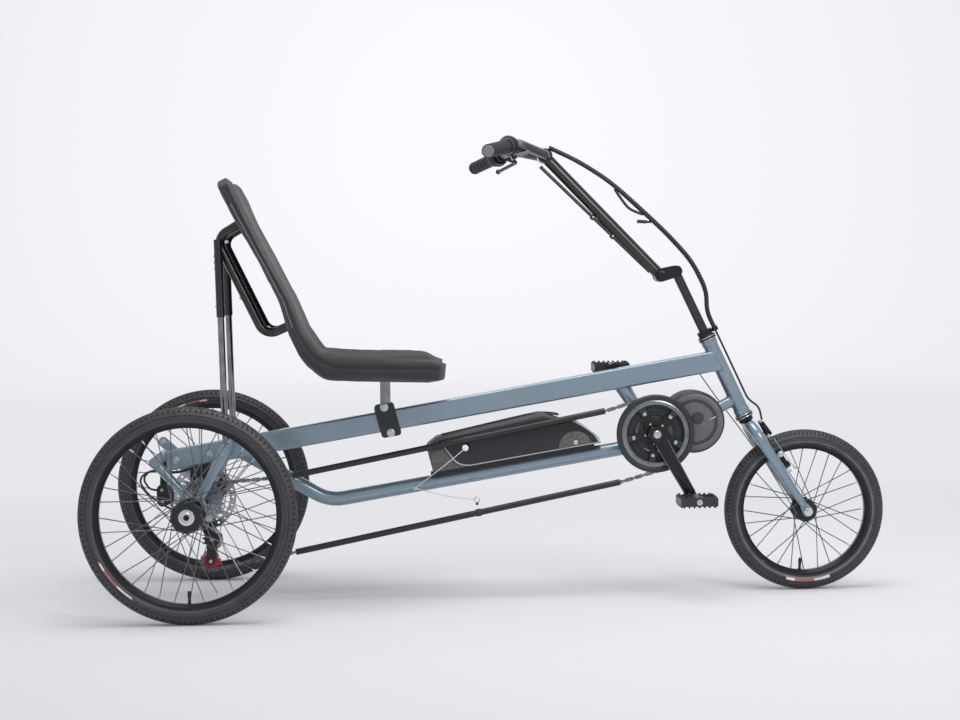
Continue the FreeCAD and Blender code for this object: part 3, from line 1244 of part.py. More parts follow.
stays = []
for name, side in SIDES:
    offset = side * (size.rail_spacing / 2 + size.rail_diameter / 2 + size.stay_sleeve_diameter / 2 + size.seat_gap)
    foot = at(size.front_cross_station, offset, size.front_cross_height)
    head = at_seat(-240, 332, offset)
    sleeve_start = foot + (head - foot) * 0.63
    lower = rod(name + "_stay", foot, head, "Sizes.stay_diameter / 2")
    upper = rod(name + "_stay_sleeve", sleeve_start, head, "Sizes.stay_sleeve_diameter / 2")
    cope = across(name + "_stay_cope", size.front_cross_station, size.front_cross_height,
                  "Sizes.cross_tube_diameter / 2 + Sizes.weld_gap", "Sizes.stay_sleeve_diameter * 4", offset)
    stays.append(cut(name + "_stay_solid", fuse(name + "_stay_rough", lower, upper), cope))
keep(group("stay_pair", *stays), "seat_stays")

# ---------------------------------------------------------------- fork and front axle
# A unicrown fork: two tubes bend out of the steerer's foot and run down as tapering blades.
front_hub = at(size.wheelbase, 0, size.front_tyre_radius)
half_blades = size.blade_spacing / 2
race_start = size.cup_height + size.bearing_gap
locknut_end = head_top + steer_up * (race_start + size.race_height * 1.7)
crown_point = head_foot - steer_up * (race_start + size.race_height + size.blade_top_diameter / 3)
blade_along = (crown_point - front_hub).normalize()
blade_front = Vector(blade_along.z, 0, -blade_along.x)
fork_pieces = [
    rod("steerer", crown_point - steer_up * 6, locknut_end, "Sizes.steerer_diameter / 2"),
    rod("crown_race", head_foot - steer_up * race_start, head_foot - steer_up * (race_start + size.race_height),
        "Sizes.race_diameter / 2"),
    rod("locknut", head_top + steer_up * race_start, locknut_end, "Sizes.race_diameter / 2")]
brake_root = front_hub + blade_along * size.brake_boss_distance
boss_offset = half_blades - 8.0
for name, side in SIDES:
    aside = SIDEWAYS * (side * half_blades)
    bend_end = crown_point + aside - blade_along * (size.crown_radius + 4.0)
    tip = front_hub + aside + blade_along * 18
    boss_foot = brake_root + SIDEWAYS * (side * boss_offset)
    fork_pieces += [
        bent_rod(name + "_crown_bend", [crown_point, crown_point + aside, bend_end], [size.crown_radius],
                 "Sizes.blade_top_diameter / 2"),
        tapered(name + "_blade", bend_end, tip, "Sizes.blade_top_diameter / 2", "Sizes.blade_tip_diameter / 2"),
        strap(name + "_dropout", [(size.wheelbase, size.front_tyre_radius, 13.0), (station_of(tip), tip.z, 9.0)],
              "Sizes.dropout_thickness", side * half_blades),
        rod(name + "_brake_boss", boss_foot, boss_foot + blade_front * 22, 5.0)]
# A ring on the locknut's front holds the end of the cable loom.
loom_end = head_top + steer_up * (size.cup_height + 7.0) + steer_front * (size.race_diameter / 2 + 9.0)
loom_radius = size.loom_diameter / 2
fork_pieces += [
    rod("loom_ring", loom_end - steer_up * 5, loom_end + steer_up * 5, "Sizes.loom_diameter / 2 + 2.5"),
    rod("loom_ring_arm", loom_end - steer_front * (size.race_diameter / 2), loom_end - steer_front * loom_radius, 3.5)]
axle_hole = across("axle_hole", size.wheelbase, size.front_tyre_radius,
                   "Sizes.front_axle_diameter / 2 + Sizes.weld_gap", THROUGH * 2)
loom_hole = rod("loom_hole", loom_end - steer_up * 10, loom_end + steer_up * 10,
                "Sizes.loom_diameter / 2 + Sizes.weld_gap")
keep(cut("fork_solid", fuse("fork_rough", *fork_pieces), axle_hole, loom_hole), "fork")

nut_offset = half_blades + size.dropout_thickness / 2 + size.front_nut_height / 2 + size.weld_gap
axle_pieces = [across("front_axle_bar", size.wheelbase, size.front_tyre_radius, "Sizes.front_axle_diameter / 2",
                      size.blade_spacing + size.dropout_thickness + 4 * size.front_nut_height)]
for name, side in SIDES:
    hexagon = bind(doc.addObject("Part::Prism", name + "_nut"), Polygon=6,
                   Circumradius="Sizes.front_nut_diameter / 2", Height="Sizes.front_nut_height")
    place(hexagon, front_hub + SIDEWAYS * (side * nut_offset - size.front_nut_height / 2), SIDEWAYS)
    axle_pieces.append(hexagon)
keep(fuse("front_axle_solid", *axle_pieces), "front_axle")

# ---------------------------------------------------------------- rim brake
# Each arm turns on a boss in front of its blade, carries a pad on a short stem and ends in a
# hook for the link that pulls the pair together over the tyre.
brake_pivot = brake_root + blade_front * size.brake_standoff
PAD_REACH = 45.0
ARM_POINTS = (  # height up the arm, distance aside, radius there
    (0.0, boss_offset, 6.5), (PAD_REACH, 36.0, 6.0), (size.brake_arm_length - 30.0, 33.0, 5.0),
    (size.brake_arm_length, 18.0, 4.5))
brake_top = brake_pivot + blade_along * size.brake_arm_length
pad_along = blade_front
brake_pieces = [rod("brake_link", brake_top - SIDEWAYS * 24, brake_top + SIDEWAYS * 24, 3.0)]
for name, side in SIDES:
    foot, waist, shoulder, hook = [brake_pivot + blade_along * up + SIDEWAYS * (side * aside)
                                   for up, aside, radius in ARM_POINTS]
    radii = [radius for up, aside, radius in ARM_POINTS]
    brake_pieces.append(rod(name + "_arm_hub", foot - blade_front * 6.9, foot + blade_front * 8, 8.0))
    for n, (start, end) in enumerate(((foot, waist), (waist, shoulder), (shoulder, hook))):
        brake_pieces.append(tapered("%s_arm_%d" % (name, n), start, end, radii[n], radii[n + 1]))
        if n:
            knee = bind(doc.addObject("Part::Sphere", "%s_arm_knee_%d" % (name, n)), Radius=radii[n])
            brake_pieces.append(place(knee, start))
    to_rim = (waist - SIDEWAYS * (side * ARM_POINTS[1][1]) - front_hub).normalize()
    pad_centre = front_hub + to_rim * size.pad_radius + SIDEWAYS * (side * 22.0)
    tangent = to_rim.cross(SIDEWAYS)
    brake_pieces += [rod(name + "_pad_stem", waist, pad_centre, 3.5),
                     rod(name + "_pad", pad_centre - tangent * 26, pad_centre + tangent * 26, 5.5)]
keep(fuse("brake_solid", *brake_pieces), "rim_brake")

# ---------------------------------------------------------------- quill, mast and handlebar
quill_foot = locknut_end + steer_up * size.weld_gap
quill_head = on_steering(size.quill_top)
keep(rod("quill_solid", quill_foot, quill_head, "Sizes.quill_diameter / 2"), "quill_post")

# The bracket's cap sits on the quill, and a cross bar through it carries two cheeks with the bolt.
CAP_HEIGHT = 16.0
cap_middle = quill_head + steer_up * (CAP_HEIGHT / 2)
cheek_offset = size.mast_lug_width / 2 + size.cheek_thickness / 2 + 0.5
bracket_pieces = [
    rod("bracket_cap", quill_head + steer_up * size.weld_gap, quill_head + steer_up * CAP_HEIGHT, 15.0),
    across("cap_bar", station_of(cap_middle), cap_middle.z, CAP_HEIGHT / 2,
           2 * cheek_offset + size.cheek_thickness),
    across("pivot_bolt", size.pivot_station, size.pivot_height, "Sizes.pivot_bolt_diameter / 2",
           2 * cheek_offset + size.cheek_thickness + 12)]
for name, side in SIDES:
    bracket_pieces.append(strap(name + "_cheek", [(size.pivot_station, size.pivot_height, 16.0),
                                                  (station_of(cap_middle), cap_middle.z, 14.0)],
                                "Sizes.cheek_thickness", side * cheek_offset))
keep(fuse("bracket_solid", *bracket_pieces), "mast_bracket")

pivot = at(size.pivot_station, 0, size.pivot_height)
mast_top = at(size.mast_top_station, 0, size.mast_top_height)
mast_pieces = [
    across("mast_lug", size.pivot_station, size.pivot_height, 15.0, "Sizes.mast_lug_width"),
    rod("mast_bar", pivot, mast_top, "Sizes.mast_diameter / 2"),
    across("bar_clamp", size.mast_top_station, size.mast_top_height, "Sizes.bar_clamp_diameter / 2",
           "Sizes.bar_clamp_width")]
lug_bore = across("lug_bore", size.pivot_station, size.pivot_height,
                  "Sizes.pivot_bolt_diameter / 2 + Sizes.running_clearance", THROUGH)
bar_bore = across("bar_bore", size.mast_top_station, size.mast_top_height,
                  "Sizes.bar_diameter / 2 + Sizes.weld_gap", THROUGH)
keep(cut("mast_solid", fuse("mast_rough", *mast_pieces), lug_bore, bar_bore), "mast_tube")


def bar_corner(which, side):
    """The handlebar's corners: at the clamp, at the outward bend, and at the end of the grip."""
    forward, aside, up = {"clamp": (0.0, size.bar_clamp_width / 2 + 29.0, 0.0),
                          "bend": (-size.bar_bend_setback, size.bar_bend_width, size.bar_rise),
                          "end": (-size.bar_sweep, size.bar_half_width, -size.bar_drop)}[which]
    return at(size.mast_top_station + forward, side * aside, size.mast_top_height + up)


bar_points = [bar_corner(which, RIGHT) for which in ("end", "bend", "clamp")]
bar_points += [bar_corner(which, LEFT) for which in ("clamp", "bend", "end")]
keep(bent_rod("bar_solid", bar_points, [60.0, 30.0, 30.0, 60.0], "Sizes.bar_diameter / 2"), "handlebar")

# Controls on each side: a ringed grip, a twist shifter's barrel, and a brake lever on its perch.
GRIP_RINGS, RING_PITCH = 5, 22.0
for name, side in SIDES:
    outer = bar_corner("end", side)
    inward = (bar_corner("bend", side) - outer).normalize()
    grip_section = [("Sizes.bar_diameter / 2", "0"), ("Sizes.grip_diameter / 2", "0"), ("Sizes.grip_diameter / 2", "8")]
    for n in range(GRIP_RINGS):
        start = 10.0 + n * RING_PITCH
        grip_section += [("Sizes.grip_diameter / 2 - 1.8", "%g" % start),
                         ("Sizes.grip_diameter / 2 - 1.8", "%g" % (start + 3.0)),
                         ("Sizes.grip_diameter / 2", "%g" % (start + 5.0)),
                         ("Sizes.grip_diameter / 2", "%g" % (start + RING_PITCH - 2.0))]
    grip_section += [("Sizes.grip_diameter / 2", "Sizes.grip_length"), ("Sizes.bar_diameter / 2", "Sizes.grip_length")]
    barrel_section = [("Sizes.bar_diameter / 2", "0"), ("17", "0"), ("20", "4"), ("20", "22"), ("23", "25"),
                      ("23", "33"), ("20", "36"), ("Sizes.bar_diameter / 2", "36")]
    perch = outer + inward * (size.grip_length + 46.0)
    knuckle = perch + Vector(24, 0, -9)
    lever_points = [knuckle, knuckle - inward * 12 + Vector(size.lever_reach - 24, 0, -6),
                    outer + inward * 34 + Vector(size.lever_reach + 4, 0, -16)]
    pieces = [
        turned(name + "_grip", outer, inward, grip_section),
        turned(name + "_shifter", outer + inward * size.grip_length, inward, barrel_section),
        rod(name + "_perch_band", perch - inward * 11, perch + inward * 8, 15.5),
        rod(name + "_perch_arm", perch, knuckle + (knuckle - perch) * 0.3, 8.0),
        bent_rod(name + "_lever", lever_points, [16.0], "Sizes.lever_diameter / 2"),
        place(bind(doc.addObject("Part::Sphere", name + "_lever_ball"), Radius="Sizes.lever_diameter / 2 + 2"),
              lever_points[-1])]
    bore = rod(name + "_control_bore", outer - inward * 10, perch + inward * 40,
               "Sizes.bar_diameter / 2 + Sizes.weld_gap")
    keep(cut(name + "_controls_solid", fuse(name + "_controls_rough", *pieces), bore), name + "_controls")

# ---------------------------------------------------------------- cables
# The loom leaves the handlebar clamp, bows forward and ends in the ring on the locknut.
loom_start = mast_top + Vector(size.bar_clamp_diameter / 2 - 7, 0, size.bar_clamp_diameter / 2 + 3)
loom_foot = loom_end + steer_up * 45
LOOM_BOW = ((0.125, 27), (0.29, 50), (0.473, 57), (0.634, 62), (0.797, 59), (0.93, 35.5))
chord = loom_foot - loom_start
bow = Vector(-chord.z, 0, chord.x).normalize()
loom_points = [loom_start] + [loom_start + chord * share + bow * rise for share, rise in LOOM_BOW]
loom_points += [loom_foot, loom_end]
keep(bent_rod("loom_solid", loom_points, widest_radii(loom_points), "Sizes.loom_diameter / 2"), "cable_loom")

# The front brake's cable runs straight down before the head tube, then curves to the arms.
brake_cable = [loom_end - steer_up * size.seat_gap, brake_top + Vector(-31, 0, 56), brake_top + Vector(-4, 0, 38),
               brake_top + blade_front * 5 + blade_along * 3]
keep(bent_rod("front_cable_solid", brake_cable, widest_radii(brake_cable), "Sizes.cable_diameter / 2"),
     "front_brake_cable")

# Two cables come out from under the tail of the beam and loop back, one to the derailleur and
# one to the caliper.
under_beam = -beam_half - size.cable_diameter / 2 - size.seat_gap
shifter_end = polar(at(*upper_knuckle[:1], 0, upper_knuckle[1]), 11.0 + size.seat_gap, math.radians(159.6))
REAR_CABLES = (
    ("shifter", -12.0, ((-60, 312, -16), (-120, 322, -20), (-150, 300, -24), (-125, 262, -28), (-70, 225, -30)),
     shifter_end + SIDEWAYS * (hanger_face - 8.5)),
    ("brake", 12.0, ((-60, 311, 18), (-125, 318, 26), (-146, 296, 34), (-130, 270, 42)),
     at(-112.0 - 3 * size.seat_gap, size.rotor_offset, caliper_height + 14.0)))
rear_cables = []
for name, side, bends, end in REAR_CABLES:
    points = [on_beam(40.0, under_beam, side), on_beam(-20.0, under_beam, side)]
    points += [at(station, aside, height - 247.0 + axle_height) for station, height, aside in bends] + [end]
    rear_cables.append(bent_rod(name + "_cable", points, widest_radii(points), "Sizes.cable_diameter / 2"))
keep(group("rear_cable_pair", *rear_cables), "rear_cables")

# A thin cable drops from the beam past the motor to the back of the left blade.
sensor_spot = crown_point + SIDEWAYS * half_blades - blade_along * 62
sensor_end = sensor_spot - blade_front * (size.blade_top_diameter / 2 + size.cable_diameter / 4)
sensor_start = on_beam(size.motor_station + 17.5, under_beam + size.cable_diameter / 4, 12.0)
sensor_points = [sensor_start, sensor_start + Vector(48, 8, -68), sensor_end + Vector(-38, -12, 52), sensor_end]
keep(bent_rod("sensor_cable_solid", sensor_points, widest_radii(sensor_points), "Sizes.cable_diameter / 4"),
     "sensor_cable")

# ---------------------------------------------------------------- checks and files
doc.recompute()
for thing in doc.Objects:
    if "Invalid" in thing.State or "Error" in thing.State:
        raise SystemExit("failed feature: %s %s" % (thing.Name, thing.State))
for part in subparts:
    if part.Shape.isNull() or not part.Shape.isValid():
        raise SystemExit("bad shape: %s" % part.Label)
os.makedirs("parts", exist_ok=True)
for part in subparts:
    part.Shape.exportStep("parts/%s.step" % part.Label)
print(len(subparts), "sub-parts written")
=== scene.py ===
import json
import math

import bmesh
import bpy
from mathutils import Matrix, Vector, noise


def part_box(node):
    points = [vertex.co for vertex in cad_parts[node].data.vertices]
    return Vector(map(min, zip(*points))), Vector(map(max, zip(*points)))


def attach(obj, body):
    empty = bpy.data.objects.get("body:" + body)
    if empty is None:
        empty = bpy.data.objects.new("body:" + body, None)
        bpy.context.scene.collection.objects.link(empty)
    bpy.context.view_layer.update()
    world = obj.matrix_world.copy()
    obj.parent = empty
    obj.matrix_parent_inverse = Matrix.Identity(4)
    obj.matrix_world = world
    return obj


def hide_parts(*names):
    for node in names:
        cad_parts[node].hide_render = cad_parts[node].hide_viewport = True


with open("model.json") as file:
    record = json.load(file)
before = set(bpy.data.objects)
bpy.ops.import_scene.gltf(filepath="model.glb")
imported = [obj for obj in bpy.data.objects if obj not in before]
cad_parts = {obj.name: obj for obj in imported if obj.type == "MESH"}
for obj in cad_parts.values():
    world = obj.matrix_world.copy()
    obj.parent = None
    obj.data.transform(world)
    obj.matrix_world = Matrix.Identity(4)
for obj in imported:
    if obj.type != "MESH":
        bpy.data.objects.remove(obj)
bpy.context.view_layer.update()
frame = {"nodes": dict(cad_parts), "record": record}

nodes = frame["nodes"]

# ---------------------------------------------------------------- camera
# A long lens at saddle height looks at the drive side from five metres, a little from
# behind and a little downwards.
CAMERA_PLACE = Vector((-0.2503, -5.0075, 0.7808))
YAW, PITCH, ROLL = (math.radians(angle) for angle in (2.52, 2.36, -0.78))

camera_data = bpy.data.cameras.new("camera")
camera_data.lens = 77.4
camera_data.sensor_width = 36.0
camera = bpy.data.objects.new("camera", camera_data)
bpy.context.collection.objects.link(camera)
ahead = Vector((math.sin(YAW) * math.cos(PITCH), math.cos(YAW) * math.cos(PITCH), -math.sin(PITCH)))
aside = Vector((math.cos(YAW), -math.sin(YAW), 0))
above = aside.cross(ahead)
turned_aside = math.cos(ROLL) * aside + math.sin(ROLL) * above
turned_above = math.cos(ROLL) * above - math.sin(ROLL) * aside
camera.matrix_world = Matrix((turned_aside, turned_above, -ahead)).transposed().to_4x4()
camera.location = CAMERA_PLACE
bpy.context.scene.camera = camera

# ---------------------------------------------------------------- studio
# A pale painted floor runs back and curves up into the wall, so that no edge shows.
# Two soft boxes and a plain white room light it.
FLOOR_HALF_WIDTH, FLOOR_NEAR, FLOOR_FAR = 18.0, -12.0, 11.0
COVE_RADIUS, WALL_TOP = 3.0, 9.0
PALE_BEHIND, DARK_BEFORE = 1.2, -1.8
GLOW_SHIFT, GLOW_FROM, GLOW_TO = 1.45, 1.9, 4.2
WALL_MIDDLE, BRIGHT_WITHIN, DIM_BEYOND, DIM = (0.5, 14.0, 2.0), 1.0, 7.0, 0.84
SHARP_ANGLE = math.radians(32)


def linear(hex_colour):
    """An sRGB hex colour as linear RGBA."""
    channels = [int(hex_colour[n:n + 2], 16) / 255 for n in (1, 3, 5)]
    return [c / 12.92 if c <= 0.04045 else ((c + 0.055) / 1.055) ** 2.4 for c in channels] + [1.0]


def new_material(name):
    material = bpy.data.materials.new(name)
    material.use_nodes = True
    return material


def set_up(material, node, settings=None, links=None):
    """Sets attributes by name and inputs by socket, and links sockets to (node, output)."""
    for key, value in (settings or {}).items():
        if isinstance(key, str) and hasattr(node, key):
            setattr(node, key, value)
        else:
            node.inputs[key].default_value = value
    for key, (source, output) in (links or {}).items():
        material.node_tree.links.new(source.outputs[output], node.inputs[key])
    return node


def add_node(material, kind, settings=None, links=None):
    return set_up(material, material.node_tree.nodes.new("ShaderNode" + kind), settings, links)


def pattern(material, kind, settings):
    """A texture that keeps its place on the piece."""
    place = add_node(material, "TexCoord")
    return add_node(material, kind, settings, {"Vector": (place, "Object")})


def spread(material, source, output, low, high, to_low=0.0, to_high=1.0):
    """Spreads an output's values from low to high over other values."""
    ends = {"From Min": low, "From Max": high, "To Min": to_low, "To Max": to_high}
    return add_node(material, "MapRange", ends, {"Value": (source, output)})


def combine(material, operation, *sources):
    """A sum on the values of (node, output)."""
    return add_node(material, "Math", {"operation": operation}, dict(enumerate(sources)))


def shader(material):
    return material.node_tree.nodes["Principled BSDF"]


def piece_from(mesh_maker, name):
    """Turns a bmesh into a linked object at the origin, smooth except across sharp edges."""
    mesh_maker.normal_update()
    for face in mesh_maker.faces:
        face.smooth = True
    for edge in mesh_maker.edges:
        edge.smooth = len(edge.link_faces) == 2 and edge.calc_face_angle(0.0) < SHARP_ANGLE
    mesh = bpy.data.meshes.new(name)
    mesh_maker.to_mesh(mesh)
    mesh_maker.free()
    thing = bpy.data.objects.new(name, mesh)
    bpy.context.collection.objects.link(thing)
    return thing


def corners_of(geometry):
    return [item for item in geometry if isinstance(item, bmesh.types.BMVert)]


floor_mesh = bmesh.new()
start = floor_mesh.verts.new((-FLOOR_HALF_WIDTH, FLOOR_NEAR, 0))
end = floor_mesh.verts.new((-FLOOR_HALF_WIDTH, FLOOR_FAR, 0))
floor_mesh.edges.new((start, end))
cove = bmesh.ops.spin(floor_mesh, geom=[end], cent=(0, FLOOR_FAR, COVE_RADIUS), axis=(1, 0, 0),
                      angle=math.radians(90), steps=24)
last = corners_of(cove["geom_last"])[0]
top = floor_mesh.verts.new((-FLOOR_HALF_WIDTH, last.co.y, WALL_TOP))
floor_mesh.edges.new((last, top))
swept = bmesh.ops.extrude_edge_only(floor_mesh, edges=floor_mesh.edges[:])
bmesh.ops.translate(floor_mesh, vec=(2 * FLOOR_HALF_WIDTH, 0, 0), verts=corners_of(swept["geom"]))
bmesh.ops.recalc_face_normals(floor_mesh, faces=floor_mesh.faces)
floor = piece_from(floor_mesh, "studio_floor")

# Painted shade: the floor's paint is a little darker towards the camera, near the lamps, to even out their
# light. Far from the trike the camera sees a painted glow instead of the lit floor, brightest round the
# wall's middle and dimmer further out.
floor_paint = new_material("matt studio emulsion")
place = add_node(floor_paint, "TexCoord")
axes = add_node(floor_paint, "SeparateXYZ", None, {"Vector": (place, "Object")})
painted_shade_share = spread(floor_paint, axes, "Y", PALE_BEHIND, DARK_BEFORE)
MIX_FROM, MIX_TO, MIXED = 6, 7, 2  # the mix node's sockets for colours
paint = add_node(floor_paint, "Mix",
                 {"data_type": "RGBA", MIX_FROM: linear("#F1F1F4"), MIX_TO: linear("#D6D7DB")},
                 {"Factor": (painted_shade_share, "Result")})
painted = set_up(floor_paint, shader(floor_paint), {"Roughness": 0.9}, {"Base Color": (paint, MIXED)})
rays = add_node(floor_paint, "LightPath")
seen = combine(floor_paint, "MAXIMUM", (rays, "Is Camera Ray"), (rays, "Is Glossy Ray"))
off_middle = combine(floor_paint, "ADD", (axes, "Y"))
off_middle.inputs[1].default_value = GLOW_SHIFT
either_way = combine(floor_paint, "ABSOLUTE", (off_middle, 0))
farness = spread(floor_paint, either_way, 0, GLOW_FROM, GLOW_TO)
lit = combine(floor_paint, "MULTIPLY", (seen, 0), (farness, 0))
# Painted pool of light: the glow's strength falls from 1 near the wall's middle to 0.84 further out.
from_middle = add_node(floor_paint, "VectorMath", {"operation": "DISTANCE", 1: WALL_MIDDLE},
                       {0: (place, "Object")})
painted_glow_strength = spread(floor_paint, from_middle, "Value", BRIGHT_WITHIN, DIM_BEYOND, 1.0, DIM)
painted_glow = add_node(floor_paint, "Emission", {"Color": linear("#FAFAFF")}, {"Strength": (painted_glow_strength, "Result")})
coat = add_node(floor_paint, "MixShader", None, {0: (lit, 0), 1: (painted, 0), 2: (painted_glow, 0)})
set_up(floor_paint, floor_paint.node_tree.nodes["Material Output"], None, {"Surface": (coat, 0)})
floor.data.materials.append(floor_paint)

# Past the floor's edge the camera sees a plain white wall.
world = bpy.data.worlds.new("white room")
bpy.context.scene.world = world
world.use_nodes = True
room = set_up(world, world.node_tree.nodes["Background"], {"Color": linear("#F6F7FA"), "Strength": 0.62})
white_wall = add_node(world, "Background", {"Color": linear("#F0F0F4"), "Strength": 1.0})
seen_room = add_node(world, "MixShader", None, {0: (add_node(world, "LightPath"), "Is Camera Ray"),
                                                1: (room, 0), 2: (white_wall, 0)})
set_up(world, world.node_tree.nodes["World Output"], None, {"Surface": (seen_room, 0)})

for name, place, size, power in (("overhead box", (0.2, -0.6, 3.6), 2.2, 62),
                                 ("side box", (1.8, -3.6, 2.6), 1.6, 46)):
    lamp = bpy.data.lights.new(name, "AREA")
    lamp.size = size
    lamp.energy = power
    box = bpy.data.objects.new(name, lamp)
    bpy.context.collection.objects.link(box)
    box.location = place
    box.rotation_euler = (Vector((0, 0, 0.4)) - Vector(place)).to_track_quat("-Z", "Y").to_euler()

bpy.context.scene.view_settings.view_transform = "Standard"

# ---------------------------------------------------------------- tyres
# Black road tyres, moulded in rings: ribs and cross cuts in the tread, a groove and a smooth band on each
# sidewall, and a short printed stripe on each side. A paler band near the rim is a painted sheen, and
# near-black rubber in the floors of some shoulder cuts is painted shade.
rear_low, rear_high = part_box("rear_axle")
rear_axle_x = (rear_low.x + rear_high.x) / 2


def at(station, side, height):
    """A point in metres from mm: forward of the rear axle, to the left, above the ground."""
    return Vector((rear_axle_x + station / 1000, side / 1000, height / 1000))


def finish(name, colour, roughness, metallic=0.0, grain=(900, 0.12), mottle=(18, 0.12)):
    """A fine raised grain, which varies the gloss, and broad patches of lighter and darker colour."""
    material = new_material(name)
    fine = pattern(material, "TexNoise", {"Scale": grain[0], "Detail": 4.0})
    broad = pattern(material, "TexNoise", {"Scale": mottle[0], "Detail": 6.0})
    tone = spread(material, broad, "Fac", 0.35, 0.65, 1 - mottle[1], 1 + mottle[1])
    tint = add_node(material, "HueSaturation", {"Color": linear(colour)}, {"Value": (tone, "Result")})
    gloss = spread(material, fine, "Fac", 0.35, 0.65, roughness * 0.8, roughness * 1.2)
    bump = add_node(material, "Bump", {"Strength": grain[1], "Distance": 0.0006}, {"Height": (fine, "Fac")})
    set_up(material, shader(material), {"Metallic": metallic},
           {"Base Color": (tint, "Color"), "Roughness": (gloss, "Result"), "Normal": (bump, "Normal")})
    return material


def dress(thing, body, slot, *materials):
    """Gives a finished piece its materials and its body. The slot is not used."""
    for material in materials:
        thing.data.materials.append(material)
    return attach(thing, body)


def lathe(profile, centre, axis=(0, 1, 0), steps=64, closed=True):
    """A bmesh spun from corners of (radius, offset along the axis) in mm, about an axis through centre."""
    spun = bmesh.new()
    corners = [spun.verts.new((radius / 1000, 0, offset / 1000)) for radius, offset in profile]
    pairs = list(zip(corners, corners[1:])) + ([(corners[-1], corners[0])] if closed else [])
    for start, end in pairs:
        spun.edges.new((start, end))
    bmesh.ops.spin(spun, geom=spun.verts[:] + spun.edges[:], cent=(0, 0, 0), axis=(0, 0, 1),
                   angle=2 * math.pi, steps=steps, use_merge=True)
    bmesh.ops.remove_doubles(spun, verts=spun.verts, dist=1e-6)
    bmesh.ops.recalc_face_normals(spun, faces=spun.faces)
    turn = Vector(axis).to_track_quat("Z", "Y").to_matrix().to_4x4()
    bmesh.ops.transform(spun, matrix=Matrix.Translation(centre) @ turn, verts=spun.verts)
    return spun


def middle_of(node):
    low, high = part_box(node)
    return (low + high) / 2


def round_tyre(spot, centre, spine):
    """A spot's distance from the axle in mm, and its angles round the tyre's section and round the wheel."""
    out = spot - centre
    reach = math.hypot(out.x, out.z)
    lie = math.degrees(math.atan2(abs(out.y), reach - spine / 1000))
    return reach * 1000, lie, math.degrees(math.atan2(out.z, out.x)) % 360


# Name, body, tyre radius and section, rim radius and number of spokes, then the printed stripe's
# radius, its angle on the wheel and half its length in degrees.
WHEELS = (
    ("rear_right", "right_wheel", 247.0, 44.0, 211.0, 36, 221.0, 221.0, 14.5),
    ("rear_left", "drive_axle", 247.0, 44.0, 211.0, 36, 221.0, 106.0, 13.0),
    ("front", "front_wheel", 196.0, 43.0, 161.0, 28, 173.0, 272.0, 18.0))
# Angle round the section from the middle of the tread, and depth below the round section in mm.
TREAD_HALF = (
    (0, 0.0), (7, 0.0), (8.5, 1.3), (12, 1.3), (13.5, 0.1), (24, 0.2), (26, 1.5), (30, 1.5), (32, 0.4),
    (44, 0.7), (52, 1.3), (60, 1.9), (72, 1.7), (77, 1.2), (79, 2.4), (84, 2.4), (86, 1.0), (95, 0.5),
    (97, 0.3), (103, 0.3), (105, 0.6), (116, 0.9), (121, 1.9))
TYRE_STEPS = 360
# From angle, to angle and every how many steps round the wheel a cut comes, two steps long.
CROSS_CUTS, CUT_LENGTH, CUT_DEPTH = ((14, 25, 6), (31, 60, 3)), 2, 0.002
# Where cut floors get painted shade: from angle, to angle and every how many steps round the wheel.
PAINTED_SHADE_CUTS = (36, 58, 3)
# BEAD_GAP seats the tyre on the rim; the painted sheen band lies this many mm inside the stripe's radius.
BEAD_GAP, PAINTED_SHEEN_BAND = 0.3, (6.5, 3.5)
STRIPE_HALF_WIDTH, RED_SHIFT, RED_SHARE = 2.6, 3, 0.42
rubber = finish("moulded tyre rubber", "#38383B", 0.45, grain=(700, 0.25), mottle=(40, 0.16))
# A paler, glossier rubber for a painted sheen on the sidewall.
painted_sheen_rubber = finish("rubber with a painted sheen", "#66666A", 0.35, grain=(700, 0.1), mottle=(40, 0.2))
